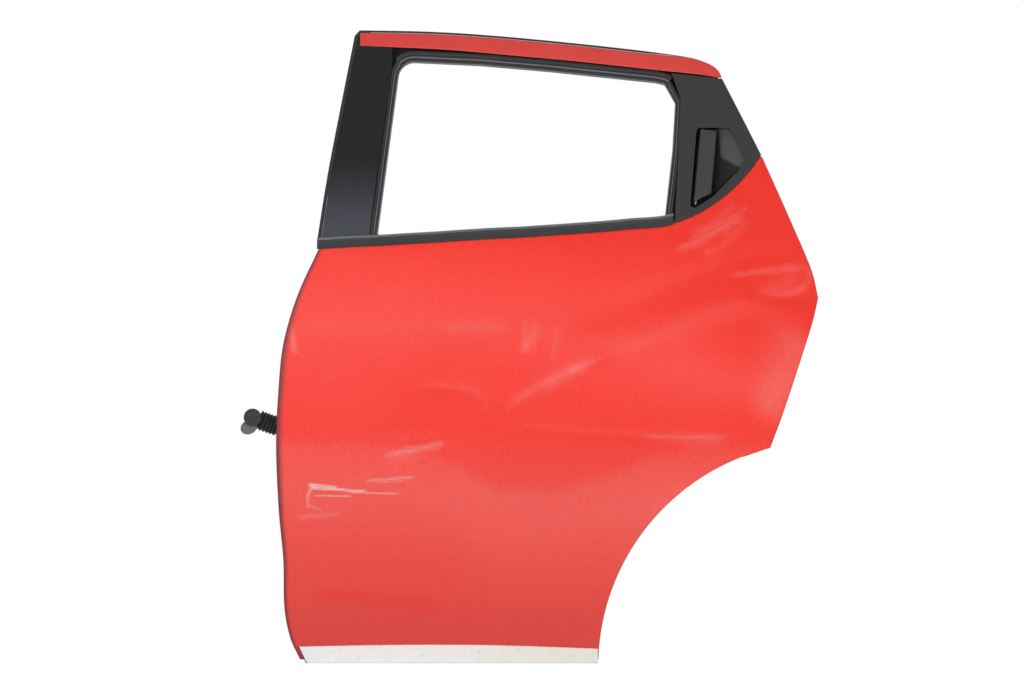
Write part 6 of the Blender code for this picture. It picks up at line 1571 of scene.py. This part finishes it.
@dataclass
class SillStrip:
    """The white strip along the bottom edge of the skin.

    Attributes:
        stations: steps along it.
        wall: thickness of its fold.
        back: how far behind the body side the fold begins.
        low: height of its lower edge.
        slant: how much further forward its front end reaches at the top.
    """

    stations: int = 90
    wall: float = 2.5 * MM
    back: float = 5.1 * MM
    low: float = 1.5 * MM
    slant: float = -14.4 * MM

    def build(self) -> None:
        """Builds the strip with its rounded section."""
        start, end = 54 * MM, 0.5935 * DOOR_WIDTH
        knots = [share * DOOR_WIDTH for share in (0.04, 0.15, 0.28, 0.40, 0.50, 0.60)]
        tops = [share * DOOR_HEIGHT for share in (0.0272, 0.0292, 0.0305, 0.0298, 0.0272, 0.0240)]
        low, wall, back = self.low, self.wall, self.back
        floor = low + wall
        rows = []
        for share in (0.0, 0.0035, *np.linspace(0, 1, self.stations + 1)[1:]):
            x = start + (end - start) * share
            top = float(smooth_values(knots, tops, np.array(x)))
            section = (
                (-2 * GAP, top), (-1.4 * MM, top - 0.1 * MM), (-2.3 * MM, top - 0.8 * MM),
                (-2.6 * MM, top - 2 * MM), (-2.9 * MM, top / 2),
                (-3.1 * MM, floor + 1 * MM), (-2.9 * MM, floor - 0.6 * MM),
                (-2.2 * MM, low + 0.7 * MM), (-1.2 * MM, low), (back + wall, low),
                (back + wall, low + 11 * MM), (back, low + 11 * MM), (back, floor), (-2 * GAP, floor),
            )
            slant = self.slant * (1 - share)
            row = []
            for depth, z in section:
                px = x + slant * (z - low) / (top - low)
                row.append([px, float(side_y(px, z)) + depth, z])
            rows.append(row)
        piece = strip("sill_moulding_strip", rows, 40, WHITE_PLASTIC, "sill_moulding")
        coat_faces(piece, (RUBBER,), lambda _, at: at.x + 0.47 * (at.z - low) < start + 1.7 * MM)


@dataclass
class WiringBoot:
    """The rubber bellows of the wiring and its connector.

    Attributes:
        sides: points round the bellows.
        steps: steps along its route.
        first: step at which it comes out of the grommet.
        cap_radius: of the round cap.
        cap_ends: the cap's outer and inner Y.
        cap_at: its place on the door.
        lobe_at: place of the grey housing behind it.
    """

    sides: int = 36
    steps: int = 140
    first: int = 24
    cap_radius: float = 16 * MM
    cap_ends: Point = (-34 * MM, -5 * MM)
    cap_at: Point = (-0.0433 * DOOR_WIDTH, 0.3890 * DOOR_HEIGHT)
    lobe_at: Point = (-0.0500 * DOOR_WIDTH, 0.3735 * DOOR_HEIGHT)

    def bellows(self) -> None:
        """Builds the grommet and the bellows."""
        route = (
            (0.0575, -6 * MM, 0.3705), (0.0300, -7 * MM, 0.3720), (0.0060, -10 * MM, 0.3745),
            (-0.0100, -14 * MM, 0.3785), (-0.0215, -17 * MM, 0.3820), (-0.0300, -19 * MM, 0.3850),
        )
        line = smooth_path([(x * DOOR_WIDTH, y, z * DOOR_HEIGHT) for x, y, z in route], self.steps)
        seat = 0.0307 * DOOR_WIDTH + 22.3 * MM - GAP
        rings = []
        for x, radius in (
            (seat + 9.2 * MM, 16.0 * MM), (seat + 9.2 * MM, 16.4 * MM), (seat, 16.7 * MM), (seat, 21.6 * MM),
            (seat - 0.6 * MM, 22 * MM), (seat - 2.2 * MM, 21.6 * MM), (seat - 3 * MM, 20.5 * MM),
            (seat - 4 * MM, 16 * MM),
        ):
            rings.append(ring_at(Vector((x, *line[0][1:])), Vector((-1, 0, 0)), radius, self.sides))
        for i in range(self.first, self.steps + 1):
            ahead = Vector(line[min(i + 1, self.steps)] - line[i - 1]).normalized()
            share = i / self.steps
            wave = 0.5 + 0.5 * math.cos(2 * math.pi * i / 10)
            radius = 13.8 * MM + 4.0 * MM * wave ** 0.6
            neck = float(ease(0.24, 0.28, share) * (1 - ease(0.40, 0.46, share)))
            rings.append(ring_at(Vector(line[i]), ahead, radius + (11 * MM - radius) * neck, self.sides))
        strip("wiring_boot_bellows", rings, 50, RUBBER, "wiring_boot")

    def drum(
        self, name: str, at: Point, ends: Point, radius: float, stretch: float, tilt: float
    ) -> Piece:
        """A round housing with a sunk front, drawn out sideways.

        Args:
            name: name of the object.
            at: middle on the door.
            ends: its outer and inner Y.
            radius: its radius.
            stretch: how much longer than high it is.
            tilt: turn of its long side, in degrees.

        Returns:
            The housing.
        """
        low, high = ends
        middle = Vector((at[0], (low + high) / 2, at[1])) + DOOR_AT
        bpy.ops.object.select_all(action="DESELECT")
        bpy.ops.mesh.primitive_cylinder_add(
            vertices=48, radius=radius, depth=high - low, location=middle, rotation=(math.pi / 2, 0, 0)
        )
        piece = bpy.context.active_object
        piece.name = piece.data.name = name
        bpy.ops.object.transform_apply(location=True, rotation=True, scale=True)
        pick(piece, lambda face: face.normal.y < -0.9)
        for share, depth in ((0.16, 0.0), (0.03, -0.9 * MM), (0.45, 0.0), (0.04, 0.6 * MM)):
            bpy.ops.mesh.inset(thickness=radius * share, depth=depth)
        bpy.ops.mesh.select_all(action="SELECT")
        bpy.ops.transform.resize(value=(stretch, 1, 1), center_override=middle)
        bpy.ops.transform.rotate(value=math.radians(tilt), orient_axis="Y", center_override=middle)
        bpy.ops.object.mode_set(mode="OBJECT")
        bevel(piece, 1.2 * MM, 35, segments=3)
        round_shading(piece, 40)
        return piece

    def connector(self) -> None:
        """Builds the cap and the grey housing behind it."""
        cap = self.drum("connector_cap", self.cap_at, self.cap_ends, self.cap_radius, 1.0, 0.0)
        lobe = self.drum("connector_housing", self.lobe_at, (-29 * MM, -9 * MM), 12.5 * MM, 1.25, 25.0)
        dress(cap, BLACK_PLASTIC, "wiring_connector")
        dress(lobe, GREY_PLASTIC, "wiring_connector")


@dataclass
class InnerSide:
    """Everything behind the skin: the pressing, its seals, the beam and the brackets.

    Attributes:
        film_low: share of the door's height over which the frame carries its black film.
        film_deep: how far behind the body side the film reaches.
    """

    film_low: float = 0.668
    film_deep: float = 85 * MM

    def build(self) -> None:
        """Dresses the pieces of the inner side."""
        panel = refined("inner_panel", INNER_PAINT, 0.0, 30)
        heights = (self.film_low, 0.74, 0.82, 0.90, 0.955)
        cuts = [((0, 0, DOOR_AT.z + share * DOOR_HEIGHT), (0, 0, 1)) for share in heights]
        cuts += [((DOOR_AT.x + share * DOOR_WIDTH, 0, 0), (1, 0, 0)) for share in (0.10, 0.22, 0.74)]
        for at, way in cuts:
            in_edit(panel, lambda: bpy.ops.mesh.bisect(plane_co=at, plane_no=way, threshold=0.01 * MM))

        def filmed(face: Face, middle: Vector) -> bool:
            """Whether a face of the window frame looks out or lies near the outside."""
            near = middle.y < float(side_y(middle.x, middle.z)) + self.film_deep
            return near and middle.z > self.film_low * DOOR_HEIGHT and face.normal.y < 0.25

        coat_faces(panel, (BLACKOUT_FILM_AND_GROOVE_SHADE,), filmed)
        refine_all(
            (RUBBER, 0.0, 60, "door_weatherstrip"), (RUBBER, 0.0, 40, "inner_belt_seal"),
            (RUBBER, 0.0, 60, "release_cable"),
            (BLACK_PLASTIC, 0.3, 30, "cable_clip_1 cable_clip_2 check_box"),
            (DARK_STEEL, 0.0, 30, "intrusion_beam belt_reinforcement"),
            (DARK_STEEL, 0.4, 30, "beam_bracket_front beam_bracket_rear"),
        )


@dataclass
class Fastener:
    """One kind of screw, bolt or plug, modelled once along Z with its head up and then copied.

    Attributes:
        name: what it is.
        head: radius of its head or flange.
        tall: height of that.
        shank: radius below it.
        length: of the shank.
        hexagon: radius and height of the hexagon on top, 0 for none.
        socket: radius and depth of the lobed socket, 0 for none.
    """

    name: str
    head: float
    tall: float
    shank: float
    length: float
    hexagon: Point = (0.0, 0.0)
    socket: Point = (0.0, 0.0)

    def lobed(self, piece: Piece, radius: float, lobes: Callable[[float], float]) -> None:
        """Draws the selected ring of points to a new outline, and stays in edit mode.

        Args:
            piece: the fastener.
            radius: mean or outer radius of the outline.
            lobes: the outline's share of that radius at each angle.
        """
        bpy.ops.object.mode_set(mode="OBJECT")
        for point in piece.data.vertices:
            if point.select:
                turn = math.atan2(point.co.y, point.co.x)
                reach = radius * lobes(turn)
                point.co.x, point.co.y = reach * math.cos(turn), reach * math.sin(turn)
        bpy.ops.object.mode_set(mode="EDIT")

    def model(self) -> Piece:
        """The fastener at the origin, its seat at Z 0."""
        bpy.ops.object.select_all(action="DESELECT")
        bpy.ops.mesh.primitive_cylinder_add(
            vertices=36, radius=self.head, depth=self.tall, location=(0, 0, self.tall / 2)
        )
        piece = bpy.context.active_object
        bpy.ops.object.transform_apply(location=True)
        pick(piece, lambda face: face.normal.z > 0.9)
        if self.hexagon[0]:
            bpy.ops.mesh.inset(thickness=self.head * 0.1)
            half = math.pi / 6
            sixth = 2 * half
            self.lobed(piece, self.hexagon[0], lambda turn: math.cos(half) / math.cos(turn % sixth - half))
            bpy.ops.mesh.extrude_region_move(TRANSFORM_OT_translate={"value": (0, 0, self.hexagon[1])})
            bpy.ops.mesh.inset(thickness=self.head * 0.12, depth=self.head * 0.05)
        if self.socket[0]:
            bpy.ops.mesh.inset(thickness=self.head * 0.3)
            self.lobed(piece, self.socket[0], lambda turn: 1 + 0.16 * math.cos(6 * turn))
            bpy.ops.mesh.extrude_region_move(TRANSFORM_OT_translate={"value": (0, 0, -self.socket[1])})
        bpy.ops.object.mode_set(mode="OBJECT")
        pick(piece, lambda face: face.normal.z < -0.9 and face.center.z < 0.1 * MM)
        bpy.ops.mesh.inset(thickness=self.head - self.shank)
        bpy.ops.mesh.extrude_region_move(TRANSFORM_OT_translate={"value": (0, 0, -self.length)})
        bpy.ops.object.mode_set(mode="OBJECT")
        bevel(piece, 0.35 * MM, 40)
        round_shading(piece, 35)
        return piece

    def copies(self, finish: Finish, axis: Place, *nodes: str) -> None:
        """Puts a copy in the place of each node.

        Args:
            finish: its material.
            axis: direction in which the heads look.
            nodes: names of the CAD nodes.
        """
        model = self.model()
        rise = self.tall + self.hexagon[1]
        way = np.array(axis)
        for node in nodes:
            points = np.array([point.co for point in frame["nodes"][node].data.vertices])
            along = points @ way
            seat = (points - along[:, None] * way).mean(axis=0) + way * (along.max() - rise)
            piece = placed(f"{node}_{self.name}", model.data.copy())
            turn = Vector((0, 0, 1)).rotation_difference(Vector(axis)).to_matrix().to_4x4()
            piece.data.transform(Matrix.Translation(seat) @ turn)
            dress(piece, finish, node)
        bpy.data.objects.remove(model)


@dataclass
class Ironwork:
    """Hinges, door check and latch."""

    def hinges(self) -> None:
        """Dresses both hinges with their pins and plates."""
        for side in ("upper_hinge", "lower_hinge"):
            refine_all(
                (PLATED, 0.7, 30, f"{side}_pillar_leaf {side}_door_leaf"),
                (DARK_STEEL, 0.3, 30, f"{side}_pin"), (PLATED, 0.3, 30, f"{side}_reinforcement"),
            )

    def fasteners(self) -> None:
        """Builds the bolts and screws."""
        forward = (-1.0, 0.0, 0.0)
        bolts = [f"{side}_hinge_bolt_{i}" for side in ("upper", "lower") for i in (1, 2)]
        bolt = Fastener("flange_bolt", 8 * MM, 2 * MM, 3.7 * MM, 16.3 * MM, hexagon=(6.9 * MM, 6 * MM))
        bolt.copies(PLATED, forward, *bolts)
        screw = Fastener("pan_screw", 5 * MM, 3.5 * MM, 2.7 * MM, 16.2 * MM, socket=(2.4 * MM, 2.2 * MM))
        screw.copies(PLATED, forward, "check_box_screw_1", "check_box_screw_2")
        screw = Fastener("low_screw", 6 * MM, 2 * MM, 2.7 * MM, 9.4 * MM, socket=(2.6 * MM, 1.5 * MM))
        axis = (math.cos(LATCH_LEAN), 0.0, -math.sin(LATCH_LEAN))
        screw.copies(PLATED, axis, "latch_screw_1", "latch_screw_2", "latch_screw_3")
        plug = Fastener("plug", 12 * MM, 2 * MM, 8.4 * MM, 3.3 * MM)
        plug.copies(RUBBER, (0.0, 1.0, 0.0), "panel_plug_1", "panel_plug_2")

    def check(self) -> None:
        """Dresses the door check."""
        refine_all(
            (PLATED, 0.4, 30, "check_strap_bracket"), (DARK_STEEL, 0.3, 30, "check_strap_pin"),
            (DARK_STEEL, 0.6, 30, "check_strap"),
        )

    def latch(self) -> None:
        """Dresses the latch."""
        refine_all(
            (PLATED, 0.3, 30, "latch_face_plate"), (BLACK_PLASTIC, 0.3, 30, "latch_case"),
            (DARK_STEEL, 0.4, 30, "latch_fork latch_pawl"),
            (PLATED, 0.3, 30, "latch_fork_rivet latch_pawl_rivet"),
        )


@dataclass
class Studio:
    """Camera, light and the pale room round the door.

    Attributes:
        world: strength of the surroundings.
        key: power of the main light, in watts.
    """

    world: float = 0.47
    key: float = 56.0

    def camera(self) -> None:
        """Puts the camera square to the door's outer side, without perspective, as in the photograph."""
        data = bpy.data.cameras.new("camera")
        data.type = "ORTHO"
        data.ortho_scale = VIEW_WIDTH
        data.clip_end = 100.0
        eye = placed("camera", data)
        eye.location = (VIEW_CENTRE[0], -VIEW_DISTANCE, VIEW_CENTRE[1])
        eye.rotation_euler = (math.pi / 2, 0.0, 0.0)
        bpy.context.scene.camera = eye

    def lamp(self, name: str, at: Place, size: Point, power: float, mirrored: bool = False) -> None:
        """Adds a soft light that faces the door.

        Args:
            name: name of the light.
            at: its place.
            size: its width and height.
            power: in watts.
            mirrored: whether gloss shows it.
        """
        data = bpy.data.lights.new(name, "AREA")
        data.shape = "RECTANGLE"
        data.size, data.size_y = size
        data.energy = power
        made = placed(name, data)
        made.visible_glossy = mirrored
        made.location = at
        aim = Vector((0.42, 0.0, 0.0)) - Vector(at)
        made.rotation_euler = aim.to_track_quat("-Z", "Y").to_euler()

    def room(self) -> None:
        """Builds the white world and the floor."""
        world = bpy.data.worlds.new("pale_room")
        bpy.context.scene.world = world
        world.use_nodes = True
        tree = world.node_tree
        tree.nodes.clear()
        path = add_node(tree, "ShaderNodeLightPath").outputs
        seen = computed(tree, "MAXIMUM", path["Is Camera Ray"], path["Is Transmission Ray"])
        seen = computed(tree, "MAXIMUM", seen, path["Is Glossy Ray"])
        up = axis_of(tree, add_node(tree, "ShaderNodeTexCoord").outputs["Generated"], "Z")
        level = ranged(tree, up, 0.0, 1.0, self.world * 1.12, self.world * 0.45)
        light = add_node(tree, "ShaderNodeBackground", {"Color": WHITE, "Strength": level}).outputs[0]
        white = add_node(tree, "ShaderNodeBackground", {"Color": WHITE, "Strength": 1.0}).outputs[0]
        mixed = add_node(tree, "ShaderNodeMixShader", {0: seen, 1: light, 2: white}).outputs[0]
        add_node(tree, "ShaderNodeOutputWorld", {0: mixed})
        bpy.ops.object.select_all(action="DESELECT")
        bpy.ops.mesh.primitive_plane_add(size=40, location=(0.4, 0, CAD_BOUNDS[0].z - 0.2 * MM))
        floor = bpy.context.active_object
        floor.name = "studio_floor"
        material = bpy.data.materials.new("matt_white_floor")
        material.use_nodes = True
        tree = material.node_tree
        shader = tree.nodes["Principled BSDF"]
        shader.inputs["Base Color"].default_value = linear("#f4f4f4")
        shader.inputs["Roughness"].default_value = 0.9
        shader.inputs["Specular IOR Level"].default_value = 0.1
        path = add_node(tree, "ShaderNodeLightPath").outputs
        share = computed(tree, "MAXIMUM", path["Is Camera Ray"], path["Is Glossy Ray"])
        share = computed(tree, "MULTIPLY", share, 0.85)
        glow = add_node(tree, "ShaderNodeEmission", {"Color": WHITE, "Strength": 1.0}).outputs[0]
        mixed = add_node(tree, "ShaderNodeMixShader", {0: share, 1: shader.outputs[0], 2: glow})
        tree.links.new(mixed.outputs[0], tree.nodes["Material Output"].inputs[0])
        floor.data.materials.append(material)

    def build(self) -> None:
        """Sets up the whole studio."""
        bpy.context.scene.view_settings.view_transform = "Standard"
        self.camera()
        self.room()
        self.lamp("key_softbox", (-0.5, -3.6, 0.5), (1.8, 1.8), self.key)
        self.lamp("side_softbox", (3.0, -2.4, 0.6), (1.6, 1.6), self.key * 0.22)
        self.lamp("rear_softbox", (0.8, 3.4, 2.2), (2.4, 2.4), self.key * 1.05)
        self.lamp("strip_softbox", (0.42, -4.0, 0.46), (3.0, 0.3), 7.0, mirrored=True)


def main() -> None:
    """Builds the pieces in order, then the studio."""
    logging.basicConfig(level=logging.INFO, format="%(name)s %(message)s")
    shell = PaintedShell()
    shell.skin()
    shell.header()
    trims = BlackTrims()
    trims.pillar()
    trims.belt()
    trims.quarter()
    trims.seals()
    trims.handle()
    SillStrip().build()
    boot = WiringBoot()
    boot.bellows()
    boot.connector()
    InnerSide().build()
    iron = Ironwork()
    iron.hinges()
    iron.fasteners()
    iron.check()
    iron.latch()
    Studio().build()


if __name__ == "__main__":
    main()
